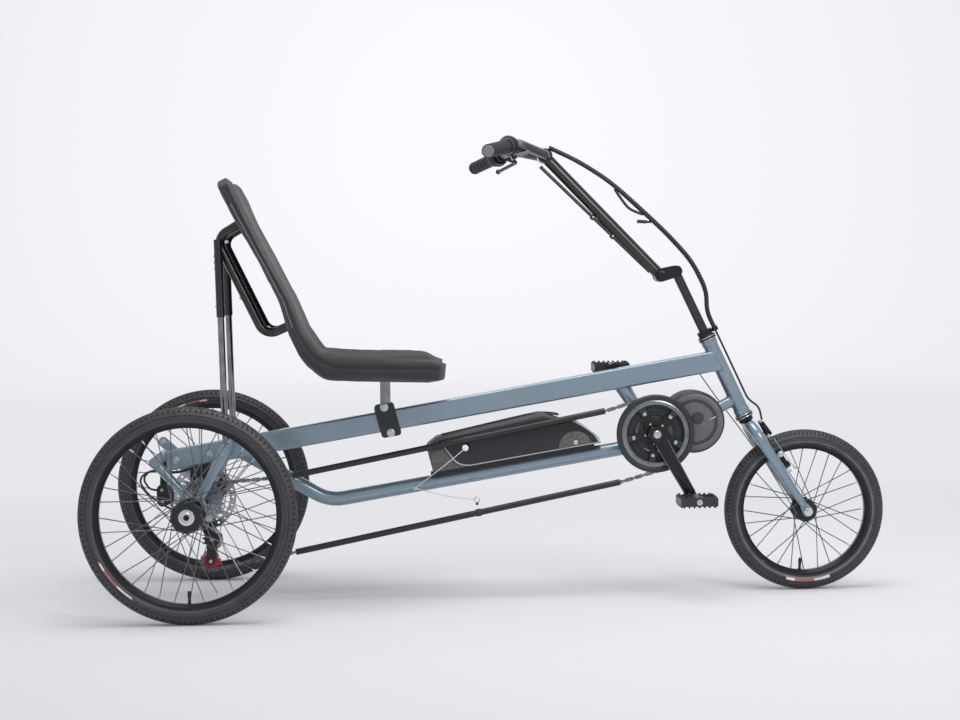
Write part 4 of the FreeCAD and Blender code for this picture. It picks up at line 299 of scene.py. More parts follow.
# Near-black rubber for painted shade in the cuts.
painted_shade_rubber = finish("rubber with painted shade in the cuts", "#1D1D1F", 0.85, grain=(700, 0.25), mottle=(40, 0.16))
stripe_white = finish("white sidewall print", "#E4DAD8", 0.6, grain=(900, 0.08))
stripe_red = finish("red sidewall print", "#A9696A", 0.6, grain=(900, 0.08))
TYRE_FINISHES = (rubber, stripe_white, stripe_red, painted_shade_rubber, painted_sheen_rubber)
for name, body, radius, section, rim, count, stripe_radius, stripe_angle, stripe_half in WHEELS:
    centre = middle_of(name + "_hub")
    tube_radius = section / 2
    spine = radius - tube_radius
    seat_angle = math.degrees(math.acos((rim + BEAD_GAP - spine) / tube_radius))
    half = [(angle, depth) for angle, depth in TREAD_HALF if angle < seat_angle - 3] + [(seat_angle, 0.0)]
    around = [(-angle, depth) for angle, depth in reversed(half)] + half[1:]
    profile = [(spine + (tube_radius - depth) * math.cos(math.radians(angle)),
                (tube_radius - depth) * math.sin(math.radians(angle))) for angle, depth in around]
    tyre_mesh = lathe(profile, centre, steps=TYRE_STEPS)
    for vertex in tyre_mesh.verts:
        reach, lie, turn = round_tyre(vertex.co, centre, spine)
        step = round(turn / (360 / TYRE_STEPS))
        if any(low < lie < high and step % every < CUT_LENGTH for low, high, every in CROSS_CUTS):
            vertex.co -= (vertex.co - centre).normalized() * CUT_DEPTH
    for face in tyre_mesh.faces:
        reach, lie, turn = round_tyre(face.calc_center_median(), centre, spine)
        # Painted shade: the floors of every third step of shoulder cut take near-black rubber.
        if PAINTED_SHADE_CUTS[0] < lie < PAINTED_SHADE_CUTS[1] and int(turn * TYRE_STEPS / 360) % PAINTED_SHADE_CUTS[2] == 0:
            face.material_index = TYRE_FINISHES.index(painted_shade_rubber)
        # Painted sheen: a band of paler, glossier rubber a few mm inside the stripe's radius.
        if stripe_radius - PAINTED_SHEEN_BAND[0] < reach < stripe_radius - PAINTED_SHEEN_BAND[1]:
            face.material_index = TYRE_FINISHES.index(painted_sheen_rubber)
        apart = (turn - stripe_angle + 180) % 360 - 180
        if abs(reach - stripe_radius) < STRIPE_HALF_WIDTH and abs(apart) < stripe_half:
            in_red = abs(apart + RED_SHIFT) < stripe_half * RED_SHARE
            face.material_index = TYRE_FINISHES.index(stripe_red if in_red else stripe_white)
    tyre = piece_from(tyre_mesh, name + "_road_tyre")
    dress(tyre, body, "tyre", *TYRE_FINISHES)
    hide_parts(name + "_tyre")

# ---------------------------------------------------------------- rims, spokes, nipples and valves
# Black anodised aluminium rims with turned walls, plain stainless spokes with plated brass
# nipples, and a rubber valve stem with a ribbed cap at the foot of each wheel.
anodised = finish("black anodised aluminium", "#27282B", 0.34, metallic=0.5, grain=(1400, 0.05),
                  mottle=(30, 0.1))
spoke_wire = finish("drawn stainless wire", "#6F7176", 0.3, metallic=1.0, grain=(1600, 0.05),
                    mottle=(60, 0.15))
plated = finish("nickel-plated brass", "#B9BBBF", 0.25, metallic=1.0, grain=(1500, 0.04), mottle=(80, 0.08))
valve_rubber = finish("black valve rubber", "#1E1E20", 0.6, grain=(1200, 0.1))


def recolour(node, *materials):
    """Replaces the finish of a CAD piece that keeps its shape."""
    nodes[node].data.materials.clear()
    for material in materials:
        nodes[node].data.materials.append(material)


def copies(source, name, spots):
    """One piece with a copy of a small bmesh at each (place, axis), its own z along the axis."""
    copied = bpy.data.meshes.new(name + "_pattern")
    source.to_mesh(copied)
    source.free()
    whole = bmesh.new()
    for place, axis in spots:
        before = len(whole.verts)
        whole.from_mesh(copied)
        whole.verts.ensure_lookup_table()
        turn = Vector(axis).to_track_quat("Z", "Y").to_matrix().to_4x4()
        bmesh.ops.transform(whole, matrix=Matrix.Translation(place) @ turn, verts=whole.verts[before:])
    bpy.data.meshes.remove(copied)
    return piece_from(whole, name)


def lathed(name, body, slot, material, profile, centre, axis, steps, closed=False):
    """A small round piece, lathed and dressed; closed joins the profile's ends, as a ring needs."""
    dress(piece_from(lathe(profile, centre, axis, steps, closed), name), body, slot, material)


def heading(angle):
    """A unit vector in the trike's long plane, turned from forwards towards upwards."""
    return Vector((math.cos(angle), 0, math.sin(angle)))


def across(offset):
    """A move to the left by mm."""
    return Vector((0, offset / 1000, 0))


NIPPLE = [(0.0, 0.0), (2.0, 0.0), (2.0, 3.0), (1.7, 12.0), (1.2, 12.5), (0.0, 12.5)]
VALVE = [(0.0, 0.0), (5.0, 0.0), (5.0, 2.0), (3.6, 4.0), (3.4, 16.0), (4.2, 17.0), (4.2, 27.0), (3.2, 29.5),
         (0.0, 29.5)]
RIM_DEPTH, RIM_SIDE = 12.0, 4.0
SPOKE_LEAN, FLANGE_SIDE = math.radians(78), 27.0
for name, body, radius, section, rim, count, *stripe in WHEELS:
    front = name == "front"
    centre = middle_of(name + "_hub")
    recolour(name + "_rim", anodised)
    recolour(name + "_spokes", spoke_wire)
    bed_radius = (rim - RIM_DEPTH + 1) / 1000
    flange = (24 if front else 33) / 1000
    spots = []
    for n in range(count):
        angle = 2 * math.pi * n / count
        side = 1 if n % 2 else -1
        bed = centre + heading(angle) * bed_radius
        bed += across(side * RIM_SIDE)
        lean = SPOKE_LEAN * (1 if (n // 2) % 2 else -1)
        foot = centre + heading(angle + lean) * flange
        foot += across(side * FLANGE_SIDE)
        spots.append((bed, foot - bed))
    nipples = copies(lathe(NIPPLE, (0, 0, 0), (0, 0, 1), 12, closed=False), name + "_nipples", spots)
    dress(nipples, body, "spoke_steel", plated)
    down = heading(math.radians(265.6 if front else 270.0))
    lathed(name + "_valve", body, "rubber", valve_rubber, VALVE, centre + down * bed_radius, -down, 20)

# ---------------------------------------------------------------- hubs and axles
# Black hubs; the rear axle is a ground steel bar whose ends carry a broad chromed washer and a
# bolt with a hexagonal socket. The front axle has plated hexagon nuts.
hub_black = finish("black hub enamel", "#1D1E20", 0.4, grain=(1100, 0.08), mottle=(40, 0.2))
chrome = finish("chrome plate", "#D2D4D7", 0.12, metallic=1.0, grain=(1200, 0.02), mottle=(25, 0.05))
for name, *rest in WHEELS:
    recolour(name + "_hub", hub_black)
recolour("front_axle", chrome)

AXLE_HALF, CAP_END = 384.0, 389.0
half_axle = [(5.0, CAP_END - 5.0), (5.0, CAP_END - 0.8), (10.5, CAP_END - 0.8), (11.3, CAP_END - 1.6),
             (11.3, CAP_END - 2.6), (15.5, CAP_END - 2.4), (18.0, CAP_END - 3.4), (18.0, AXLE_HALF),
             (10.0, AXLE_HALF)]
axle_profile = [(0.0, CAP_END - 5.0)] + half_axle
axle_profile += [(radius, -offset) for radius, offset in reversed(half_axle)] + [(0.0, 5.0 - CAP_END)]
axle = piece_from(lathe(axle_profile, middle_of("rear_axle"), steps=48, closed=False), "ground_axle")
dress(axle, "drive_axle", "chrome", chrome)
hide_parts("rear_axle")

# ---------------------------------------------------------------- enamelled frame and its welds
# Steel tubes with a pale blue metallic enamel under clear lacquer. Each joint is brazed or
# welded, with a rippled fillet of metal that the enamel covers.
enamel = new_material("blue metallic enamel under lacquer")
flakes = pattern(enamel, "TexVoronoi", {"Scale": 2600.0})
patches = pattern(enamel, "TexNoise", {"Scale": 7.0, "Detail": 5.0})
peel = pattern(enamel, "TexNoise", {"Scale": 420.0, "Detail": 2.0})
tone = spread(enamel, patches, "Fac", 0.3, 0.7, 0.95, 1.05)
tint = add_node(enamel, "HueSaturation", {"Color": linear("#8698A5")}, {"Value": (tone, "Result")})
sparkle = spread(enamel, flakes, "Distance", 0.0, 1.0, 0.2, 0.34)
orange_peel = add_node(enamel, "Bump", {"Strength": 0.035, "Distance": 0.0006}, {"Height": (peel, "Fac")})
set_up(enamel, shader(enamel), {"Metallic": 0.55, "Coat Weight": 0.6, "Coat Roughness": 0.06},
       {"Base Color": (tint, "Color"), "Roughness": (sparkle, "Result"), "Normal": (orange_peel, "Normal")})
for part in frame["record"]["subparts"]:
    if part["material_slot"] == "frame_enamel":
        recolour(part["node"], enamel)


def wire(name, points, radius, radii=None, cyclic=False, smooth=False):
    """A round wire or bead through points: straight runs, or one smooth curve."""
    line = bpy.data.curves.new(name, "CURVE")
    line.dimensions = "3D"
    line.bevel_depth = radius / 1000
    line.bevel_resolution = 3
    line.use_fill_caps = True
    line.resolution_u = 8
    spline = line.splines.new("NURBS" if smooth else "POLY")
    spline.points.add(len(points) - 1)
    for n, spot in enumerate(points):
        spline.points[n].co = (*spot, 1.0)
        spline.points[n].radius = radii[n] if radii else 1.0
    spline.use_cyclic_u = cyclic
    if smooth:
        spline.order_u = 3
        spline.use_endpoint_u = True
    thing = bpy.data.objects.new(name, line)
    bpy.context.collection.objects.link(thing)
    return thing


RIPPLE, RIPPLE_TURN, BEAD_RADIUS, BEAM_BEAD_RADIUS = 0.22, 2.1, 1.7, 1.8


def bead(name, points, radius):
    """A weld through points, rippled as the rod was dipped."""
    ripple = [1.0 + RIPPLE * math.sin(n * RIPPLE_TURN) for n in range(len(points))]
    dress(wire(name, points, radius, ripple, cyclic=True), "frame", "frame_enamel", enamel)


def weld(name, centre, along, radius, slide):
    """A bead round a tube: slide gives how far each point moves along it to meet the other piece."""
    along = Vector(along).normalized()
    sideways = Vector((0, 1, 0))
    upright = along.cross(sideways)
    count = max(48, int(radius * 5))
    points = []
    for n in range(count):
        angle = 2 * math.pi * n / count
        out = (sideways * math.cos(angle) + upright * math.sin(angle)) * (radius / 1000)
        points.append(centre + out + along * slide(out))
    bead(name, points, BEAD_RADIUS)


def onto_tube(tube_radius, along):
    """Slides onto a tube that runs along Y and whose axis passes through the weld's centre."""
    upright = Vector(along).normalized().cross(Vector((0, 1, 0)))
    return lambda out: math.sqrt((tube_radius / 1000) ** 2 - out.dot(upright) ** 2)


def onto_plane(normal, along):
    """Slides onto a plane through the weld's centre."""
    along = Vector(along).normalized()
    return lambda out: -out.dot(normal) / along.dot(normal)


SIDES = (("right", -1), ("left", 1))
BEAM_SLOPE, BEAM_FOOT, BEAM_HALF_HEIGHT, BEAM_HALF_WIDTH = math.radians(9.4), 356.2, 25.0, 20.0
beam_up = Vector((-math.sin(BEAM_SLOPE), 0, math.cos(BEAM_SLOPE)))
beam_along = heading(BEAM_SLOPE)


def on_beam(station, raised=0.0, side=0.0):
    return at(station, side, BEAM_FOOT + station * math.tan(BEAM_SLOPE)) + beam_up * (raised / 1000)


CROSS_TUBES = (("front_cross", 70.0, 379.0), ("rear_cross", -93.2, 352.0))
CROSS_RADIUS, HOUSING_RADIUS, STRUT_SIDE, AXLE_HEIGHT = 12.7, 24.0, 160, 247
STRUT_RADIUS, STRUT_FOOT_RADIUS, BEAM_SIDE = 12.0, 10.4, 20.3
for which, station, height in CROSS_TUBES:
    for hand, side in SIDES:
        top, foot = at(station, side * STRUT_SIDE, height), at(0, side * STRUT_SIDE, AXLE_HEIGHT)
        down = foot - top
        weld("%s_%s_strut_weld" % (hand, which), top, down, STRUT_RADIUS, onto_tube(CROSS_RADIUS, down))
        weld("%s_%s_foot_weld" % (hand, which), foot, -down, STRUT_FOOT_RADIUS,
             onto_tube(HOUSING_RADIUS, -down))
        weld("%s_%s_beam_weld" % (hand, which), at(station, side * BEAM_SIDE, height), (0, 1, 0.0001),
             CROSS_RADIUS + 0.6, lambda out: 0.0)

LOWER_RADIUS, POST_RADIUS, STUB_RADIUS, SHELL_TOP, SHELL_REAR = 17.6, 16.7, 14.5, 20.0, 20.5
leg = heading(math.radians(149.5))
leg_corner = at(308, 0, 238.3)
beam_underside = on_beam(0, -BEAM_HALF_HEIGHT)
leg_meets = leg_corner + leg * ((beam_underside - leg_corner).dot(beam_up) / leg.dot(beam_up))
weld("leg_weld", leg_meets, leg, LOWER_RADIUS, onto_plane(beam_up, leg))
bracket = middle_of("bracket_shell")
post_up = (on_beam(1010) - bracket).normalized()
post_meets = bracket + post_up * ((beam_underside - bracket).dot(beam_up) / post_up.dot(beam_up))
weld("post_weld", post_meets, post_up, POST_RADIUS, onto_plane(beam_up, post_up))
weld("post_shell_weld", bracket, post_up, POST_RADIUS, onto_tube(SHELL_TOP, post_up))
lower_back = leg_corner - at(1097.9, 0, 365.8)
weld("lower_shell_weld", bracket, lower_back, LOWER_RADIUS, onto_tube(SHELL_REAR, lower_back))

HEAD_LEAN, HEAD_RADIUS = math.radians(65), 0.0183
steer_up = Vector((-math.cos(HEAD_LEAN), 0, math.sin(HEAD_LEAN)))
steer_front = Vector((steer_up.z, 0, -steer_up.x))


def on_steering(height):
    return at(1469 + 54.6 - height / math.tan(HEAD_LEAN), 0, height)


head_foot = on_steering(434.2)
stub_meets = on_steering(470.0)
motor_centre = at(1196, 0, 417)
stub_along = motor_centre - stub_meets
weld("stub_weld", stub_meets, stub_along, STUB_RADIUS,
     lambda out: (math.sqrt(HEAD_RADIUS ** 2 - out.y ** 2) + out.dot(steer_front))
     / abs(stub_along.normalized().dot(steer_front)))
BEAD_HALF_WIDTH, BEAD_HALF_HEIGHT, BEAD_STEPS, BEAM_END = 19.6, 24.8, 72, 1150
beam_bead = []
for n in range(BEAD_STEPS):
    angle = 2 * math.pi * n / BEAD_STEPS
    squareness = 1 / max(abs(math.cos(angle)) / BEAM_SIDE, abs(math.sin(angle)) / (BEAM_HALF_HEIGHT + 0.3))
    aside = max(-BEAD_HALF_WIDTH, min(BEAD_HALF_WIDTH, squareness * math.cos(angle)))
    raised = max(-BEAD_HALF_HEIGHT, min(BEAD_HALF_HEIGHT, squareness * math.sin(angle)))
    start = on_beam(BEAM_END, raised, aside)
    behind = (start - head_foot).dot(steer_front)
    rounding = math.sqrt(max(0.0, HEAD_RADIUS ** 2 - (aside / 1000) ** 2))
    reach = (-behind - rounding) / beam_along.dot(steer_front)
    beam_bead.append(start + beam_along * reach)
bead("beam_weld", beam_bead, BEAM_BEAD_RADIUS)

# The tail of the beam has a joining plate on each side, held by two plated bolts with washers,
# and a smaller bolt goes through the luggage tab.
zinc = finish("bright zinc plate", "#C3C6CB", 0.28, metallic=1.0, grain=(1300, 0.05), mottle=(90, 0.12))


def socket_bolt(radius, height, socket, washer=0.0):
    """A cap-head bolt with a hexagonal socket, standing on z = 0, with or without a washer."""
    bolt = bmesh.new()
    bmesh.ops.create_cone(bolt, cap_ends=True, segments=24, radius1=radius / 1000, radius2=radius / 1000,
                          depth=height / 1000, matrix=Matrix.Translation((0, 0, height / 2000)))
    top = max(bolt.faces, key=lambda face: face.calc_center_median().z)
    bmesh.ops.bevel(bolt, geom=list(top.edges), offset=height / 5000, segments=3, profile=0.5, affect="EDGES",
                    material=-1)
    top = max(bolt.faces, key=lambda face: face.calc_center_median().z)
    bmesh.ops.inset_individual(bolt, faces=[top], thickness=(radius * 0.9 - socket) / 1000)
    top = max(bolt.faces, key=lambda face: (round(face.calc_center_median().z, 7), -face.calc_area()))
    for vertex in top.verts:
        angle = math.atan2(vertex.co.y, vertex.co.x) % (math.pi / 3) - math.pi / 6
        vertex.co.xy = vertex.co.xy.normalized() * (socket / 1000 / math.cos(angle))
    sunk = bmesh.ops.extrude_discrete_faces(bolt, faces=[top])
    bmesh.ops.translate(bolt, vec=(0, 0, -height * 0.6 / 1000), verts=sunk["faces"][0].verts[:])
    if washer:
        ring = bmesh.ops.create_cone(bolt, cap_ends=True, segments=32, radius1=washer / 1000,
                                     radius2=washer / 1000, depth=0.0016,
                                     matrix=Matrix.Translation((0, 0, 0.0008)))
        rim = [edge for edge in bolt.edges if all(vertex in ring["verts"] for vertex in edge.verts)]
        bmesh.ops.bevel(bolt, geom=rim, offset=0.0004, segments=2, profile=0.5, affect="EDGES", material=-1)
    return bolt


def bolts(name, body, slot, bolt, spots, material=zinc):
    """A copy of a bolt at each (place, axis), as one piece."""
    dress(copies(bolt, name, spots), body, slot, material)


def both_sides(reach, *middles):
    """A spot on each side of each middle, reach mm out and facing outwards."""
    return [(middle + across(side * reach), (0, side, 0)) for middle in middles for side in (-1, 1)]


bolts("tail_bolts", "frame", "frame_enamel", socket_bolt(6.0, 6.0, 2.8, washer=9.0),
      both_sides(BEAM_HALF_WIDTH, at(-58.8, 0, 345.0), at(21.6, 0, 358.0)))
bolts("tab_bolt", "frame", "frame_enamel", socket_bolt(5.0, 4.0, 2.4, washer=7.0),
      both_sides(2.5, at(-90, 0, 388)))

# ---------------------------------------------------------------- headset
# Black steel cups, pressed into both ends of the head tube, hold the bearings of the steering.
# Two thin bright rings show at each, where the cup meets the tube and the race.
recolour("headset_cups", finish("black bearing cup", "#202124", 0.3, metallic=0.3, grain=(1200, 0.06)))
HEAD_LENGTH = 198.6
head_top = head_foot + steer_up * (HEAD_LENGTH / 1000)
for which, foot, up in (("lower", head_foot, -steer_up), ("upper", head_top, steer_up)):
    for n, (radius, height) in enumerate(((22.4, 2.0), (22.3, 8.5))):
        ring = [(radius - 2, height - 0.9), (radius, height - 0.9), (radius + 0.3, height),
                (radius, height + 0.9), (radius - 2, height + 0.9)]
        lathed("%s_bearing_ring_%d" % (which, n), "frame", "black_steel", chrome, ring, foot, up, 48, True)

# ---------------------------------------------------------------- seat cushion
# One long pad of foam in a dark knitted cover, bent at the hips. It is sewn with a welt along
# each side, where the cover pulls in, and the foam swells between the raised edges.
SEAT_STATION, SEAT_HEIGHT = 300.0, 540.0
# Spots on the rear or lower face and on the front or upper face, from the back's top to the base's front.
SEAT_PAIRS = (
    ((-243, 473), (-213, 487)), ((-196, 382), (-166, 379)), ((-136, 269), (-119, 285)),
    ((-96, 190), (-69, 190)), ((-72, 107), (-40, 118)), ((-48, 57), (-2, 64)), ((-27, 28), (24, 62)),
    ((0, 0), (60, 59)), ((92, -2), (133, 55)), ((254, -7), (254, 52)), ((296, -3), (301, 40)))
SHRINK, SWELL_LIMIT, CLOTH_FRAMES = 0.0015, 0.006, 20

pad_mesh = bmesh.new()
for node in ("seat_back", "seat_base"):
    pad_mesh.from_mesh(nodes[node].data)
bmesh.ops.remove_doubles(pad_mesh, verts=pad_mesh.verts, dist=0.00002)
pad = piece_from(pad_mesh, "seat_cushion")


def apply_all(thing):
    """Turns a piece with modifiers into its finished mesh."""
    bpy.context.view_layer.update()
    finished = bpy.data.meshes.new_from_object(thing.evaluated_get(bpy.context.evaluated_depsgraph_get()))
    thing.modifiers.clear()
    thing.data = finished


def move_out(thing, distance):
    """Moves each vertex of a piece along its own normal by what distance(place) says."""
    spots = [(vertex.co.copy(), vertex.normal.copy()) for vertex in thing.data.vertices]
    for vertex, (place, outward) in zip(thing.data.vertices, spots):
        vertex.co = place + outward * distance(place)


remesh = pad.modifiers.new("even quads", "REMESH")
remesh.mode = "VOXEL"
remesh.voxel_size = 0.0065
soften = pad.modifiers.new("worn corners", "SMOOTH")
soften.factor = 0.5
soften.iterations = 4
apply_all(pad)
move_out(pad, lambda place: -SHRINK)
at_rest = [vertex.co.copy() for vertex in pad.data.vertices]
cloth = pad.modifiers.new("knitted cover", "CLOTH")
cloth.settings.use_pressure = True
cloth.settings.uniform_pressure_force = 4.0
cloth.settings.effector_weights.gravity = 0.0
cloth.settings.tension_stiffness = 25.0
cloth.settings.bending_stiffness = 2.0
cloth.settings.quality = 5
cloth.point_cache.frame_end = CLOTH_FRAMES
for moment in range(1, CLOTH_FRAMES + 1):
    bpy.context.scene.frame_set(moment)
apply_all(pad)
bpy.context.scene.frame_set(1)
for vertex, start in zip(pad.data.vertices, at_rest):
    moved = vertex.co - start
    if moved.length > SWELL_LIMIT:
        vertex.co = start + moved.normalized() * SWELL_LIMIT
subdivide = pad.modifiers.new("fine cover", "SUBSURF")
subdivide.levels = subdivide.render_levels = 1
apply_all(pad)


def seat_point(forward, up, side=0.0):
    return at(SEAT_STATION + forward, side, SEAT_HEIGHT + up)


def seat_line(share, side):
    """Points along the pad at this share of its thickness from the rear or lower face."""
    return [seat_point(rear[0] + (front[0] - rear[0]) * share, rear[1] + (front[1] - rear[1]) * share, side)
            for rear, front in SEAT_PAIRS]


def nearest_on(line, spot):
    """The least distance from a spot to a line of points, in the trike's long plane."""
    best = 1.0
    for start, end in zip(line, line[1:]):
        run = Vector((end.x - start.x, end.z - start.z))
        to_spot = Vector((spot.x - start.x, spot.z - start.z))
        share = max(0.0, min(1.0, to_spot.dot(run) / run.dot(run)))
        best = min(best, (to_spot - run * share).length)
    return best


CHANNEL_DEPTH, CHANNEL_WIDTH, CHANNEL_FROM = 0.0045, 0.0045, 0.188
FOLD_HEIGHT, CREASE_HEIGHT, COVER_SUNK = 0.0022, 0.0007, 0.0008
channel_line = seat_line(0.5, 0)


def cover_lies(place):
    """How far the cover stands out: folds, creases, and the channel where the welt is sewn."""
    folds = noise.noise(Vector((place.x * 9, place.y * 14, place.z * 9))) * FOLD_HEIGHT
    creases = noise.noise(Vector((place.x * 55, place.y * 22, place.z * 55))) * CREASE_HEIGHT
    channel = 0.0
    if abs(place.y) > CHANNEL_FROM:
        channel = CHANNEL_DEPTH * math.exp(-(nearest_on(channel_line, place) / CHANNEL_WIDTH) ** 2)
    return folds + creases - channel - COVER_SUNK


move_out(pad, cover_lies)
for face in pad.data.polygons:
    face.use_smooth = True

knit = new_material("dark knitted seat cover")
warp, weft = [pattern(knit, "TexWave", {"wave_type": "BANDS", "bands_direction": way, "Scale": scale,
                                        "Distortion": 0.6, "Detail": 1.0})
              for way, scale in (("Y", 330.0), ("DIAGONAL", 230.0))]
loops = combine(knit, "MULTIPLY", (warp, "Fac"), (weft, "Fac"))
lint = pattern(knit, "TexNoise", {"Scale": 900.0, "Detail": 4.0})
worn = pattern(knit, "TexNoise", {"Scale": 9.0, "Detail": 5.0})
tone = spread(knit, worn, "Fac", 0.35, 0.65, 0.85, 1.15)
thread = spread(knit, loops, "Value", 0.0, 1.0, 0.72, 1.1)
shade = combine(knit, "MULTIPLY", (tone, "Result"), (thread, "Result"))
tint = add_node(knit, "HueSaturation", {"Color": linear("#39393C")}, {"Value": (shade, "Value")})
weave = add_node(knit, "Bump", {"Strength": 0.5, "Distance": 0.0006}, {"Height": (loops, "Value")})
fuzz = add_node(knit, "Bump", {"Strength": 0.2, "Distance": 0.0004},
                {"Height": (lint, "Fac"), "Normal": (weave, "Normal")})
set_up(knit, shader(knit), {"Roughness": 0.88, "Sheen Weight": 0.25, "Sheen Roughness": 0.5},
       {"Base Color": (tint, "Color"), "Normal": (fuzz, "Normal")})
pad.data.materials.clear()
dress(pad, "frame", "seat_fabric", knit)
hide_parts("seat_back", "seat_base")

# The welt: a thin corded edge laid in the sewn channel near the rear face. Its pale grey, much paler than the
# cover, is partly its own colour and partly a painted highlight.
welt_cloth_painted_highlight = finish("grey woven welt with painted highlight", "#6F7074", 0.8, grain=(1500, 0.3), mottle=(60, 0.1))
for hand, side in SIDES:
    line = seat_line(0.24, side * 205)[:5]
    course = [start.lerp(end, share / 6) for start, end in zip(line, line[1:]) for share in range(6)]
    course = [pad.closest_point_on_mesh(spot)[1] for spot in course[4:]]
    dress(wire("seat_welt_" + hand, course, 1.5, smooth=True), "frame", "seat_fabric", welt_cloth_painted_highlight)

# ---------------------------------------------------------------- seat frame and post
# Bent rails and a folded pan in gloss black powder coat, telescopic chromed stays with spring
# buttons, and a square steel post held to the beam by two black plates with large plated bolts.
powder = finish("gloss black powder coat", "#17181A", 0.24, grain=(120, 0.015), mottle=(30, 0.15))
set_up(powder, shader(powder), {"Coat Weight": 0.5, "Coat Roughness": 0.12})
black_chrome = finish("black chrome plate", "#8A8C91", 0.12, metallic=1.0, grain=(1200, 0.03),
                      mottle=(40, 0.2))
satin_black = finish("satin black enamel", "#242528", 0.4, grain=(800, 0.15), mottle=(50, 0.18))
for node, material in (("seat_pan", powder), ("seat_back_rails", powder), ("seat_clamp", satin_black),
                       ("seat_post", black_chrome), ("seat_stays", black_chrome)):
    recolour(node, material)


def zone(node, material, test):
    """Gives the faces of a CAD piece whose middles pass the test another material."""
    mesh = nodes[node].data
    mesh.materials.append(material)
    for face in mesh.polygons:
        if test(face.center):
            face.material_index = len(mesh.materials) - 1


stay_foot, stay_head = at(70, 121, 379), seat_point(-240, 332, 121)
sleeve_start = stay_foot.lerp(stay_head, 0.63)
zone("seat_stays", powder, lambda spot: spot.z > sleeve_start.z)
BUTTON = [(0.0, 0.0), (3.2, 0.0), (3.2, 0.8), (2.4, 2.2), (0.0, 2.8)]
outward = Vector((-1, 0, 0.08))
holes = [stay_foot.lerp(stay_head, share) for share in (0.68, 0.86, 0.89, 0.92)]
bolts("stay_buttons", "frame", "chrome", lathe(BUTTON, (0, 0, 0), (0, 0, 1), 20, closed=False),
      [(Vector((spot.x, side * 0.121, spot.z)) + outward * 0.0096, outward)
       for side in (-1, 1) for spot in holes], chrome)
bolts("rail_screws", "frame", "black_steel", socket_bolt(4.0, 3.5, 1.9),
      [(seat_point(forward, up, side * 100) + Vector((-0.0095, 0, -0.005)), (-0.89, 0, -0.45))
       for side in (-1, 1) for forward, up in ((-222, 287), (-180, 199))])
bolts("seat_clamp_bolts", "frame", "black_steel", socket_bolt(7.5, 6.5, 3.4, washer=10.0),
      both_sides(25.1, on_beam(450, 34), on_beam(455, -29.6)))

# ---------------------------------------------------------------- battery
# A moulded case on the lower tube: a ribbed grey shell over a gloss black side panel with a pale
# border, a grained grey end piece behind, and a grained half-round lock plate in front.
LOWER_SLOPE = math.radians(9.17)
lower_up = Vector((-math.sin(LOWER_SLOPE), 0, math.cos(LOWER_SLOPE)))


def on_lower(station, raised=0.0, side=0.0):
    """A point by its station along the lower tube and its height above the tube's axis."""
    return at(station, side, 238.3 + (station - 308) * math.tan(LOWER_SLOPE)) + lower_up * (raised / 1000)


def plate(corners, near, far, edge=0.4):
    """A flat piece in the trike's long plane from (point, corner radius), between two side offsets in mm."""
    flat = bmesh.new()
    around = [flat.verts.new((spot.x, near / 1000, spot.z)) for spot, radius in corners]
    flat.faces.new(around)
    for vertex, (spot, radius) in zip(around, corners):
        if radius:
            bmesh.ops.bevel(flat, geom=[vertex], offset=radius / 1000, segments=5, profile=0.5,
                            affect="VERTICES", material=-1)
    outer = corners_of(bmesh.ops.extrude_face_region(flat, geom=flat.faces[:])["geom"])
    bmesh.ops.translate(flat, vec=(0, (far - near) / 1000, 0), verts=outer)
    bmesh.ops.recalc_face_normals(flat, faces=flat.faces)
    rim = [seam for seam in flat.edges if all(vertex in outer for vertex in seam.verts)]
    bmesh.ops.bevel(flat, geom=rim, offset=edge / 1000, segments=2, profile=0.5, affect="EDGES", material=-1)
    return flat


shell_plastic = finish("grained battery moulding", "#47474A", 0.5, grain=(1500, 0.35), mottle=(30, 0.1))
panel_gloss = finish("gloss black panel", "#1F2024", 0.16, grain=(300, 0.01), mottle=(12, 0.1))
border_paint = finish("pale grey border", "#B7B9BD", 0.4, grain=(900, 0.05))
grained_grey = finish("coarse grained end piece", "#5C5C5B", 0.65, grain=(420, 0.9), mottle=(200, 0.3))
latch_steel = finish("drawn and plated steel", "#AEB1B6", 0.22, metallic=1.0, grain=(1400, 0.08),
                     mottle=(45, 0.12))
recolour("battery_case", shell_plastic)
recolour("battery_rail", satin_black)
CASE_SIDE = 45.0
# What, its thickness and finish, then its corners: station, height above the tube's axis, radius.
SIDE_PLATES = (
    ("border", 0.5, border_paint, (
        (598, 86.5, 6), (623.5, 36, 12), (649, 27.4, 8), (971, 27.4, 2), (962, 50, 8), (930, 83, 18),
        (907, 97.5, 12))),
    ("panel", 1.0, panel_gloss, (
        (601, 84.5, 6), (626.5, 38, 12), (651, 29.6, 8), (966, 29.6, 2), (958, 49.5, 8), (927, 81, 18),
        (905, 95, 12))),
    ("end_piece", 1.2, grained_grey, (
        (566, 27.4, 0), (560.5, 84, 8), (592, 85, 3), (617, 36.5, 10), (640, 27.4, 4))))
LOCK_MIDDLE, LOCK_RADIUS = (909.5, 29.6), 39.0
lock = [(on_lower(LOCK_MIDDLE[0] + LOCK_RADIUS * math.cos(math.radians(angle)),
                  LOCK_MIDDLE[1] + LOCK_RADIUS * 0.92 * math.sin(math.radians(angle))), 0)
        for angle in range(0, 181, 9)]
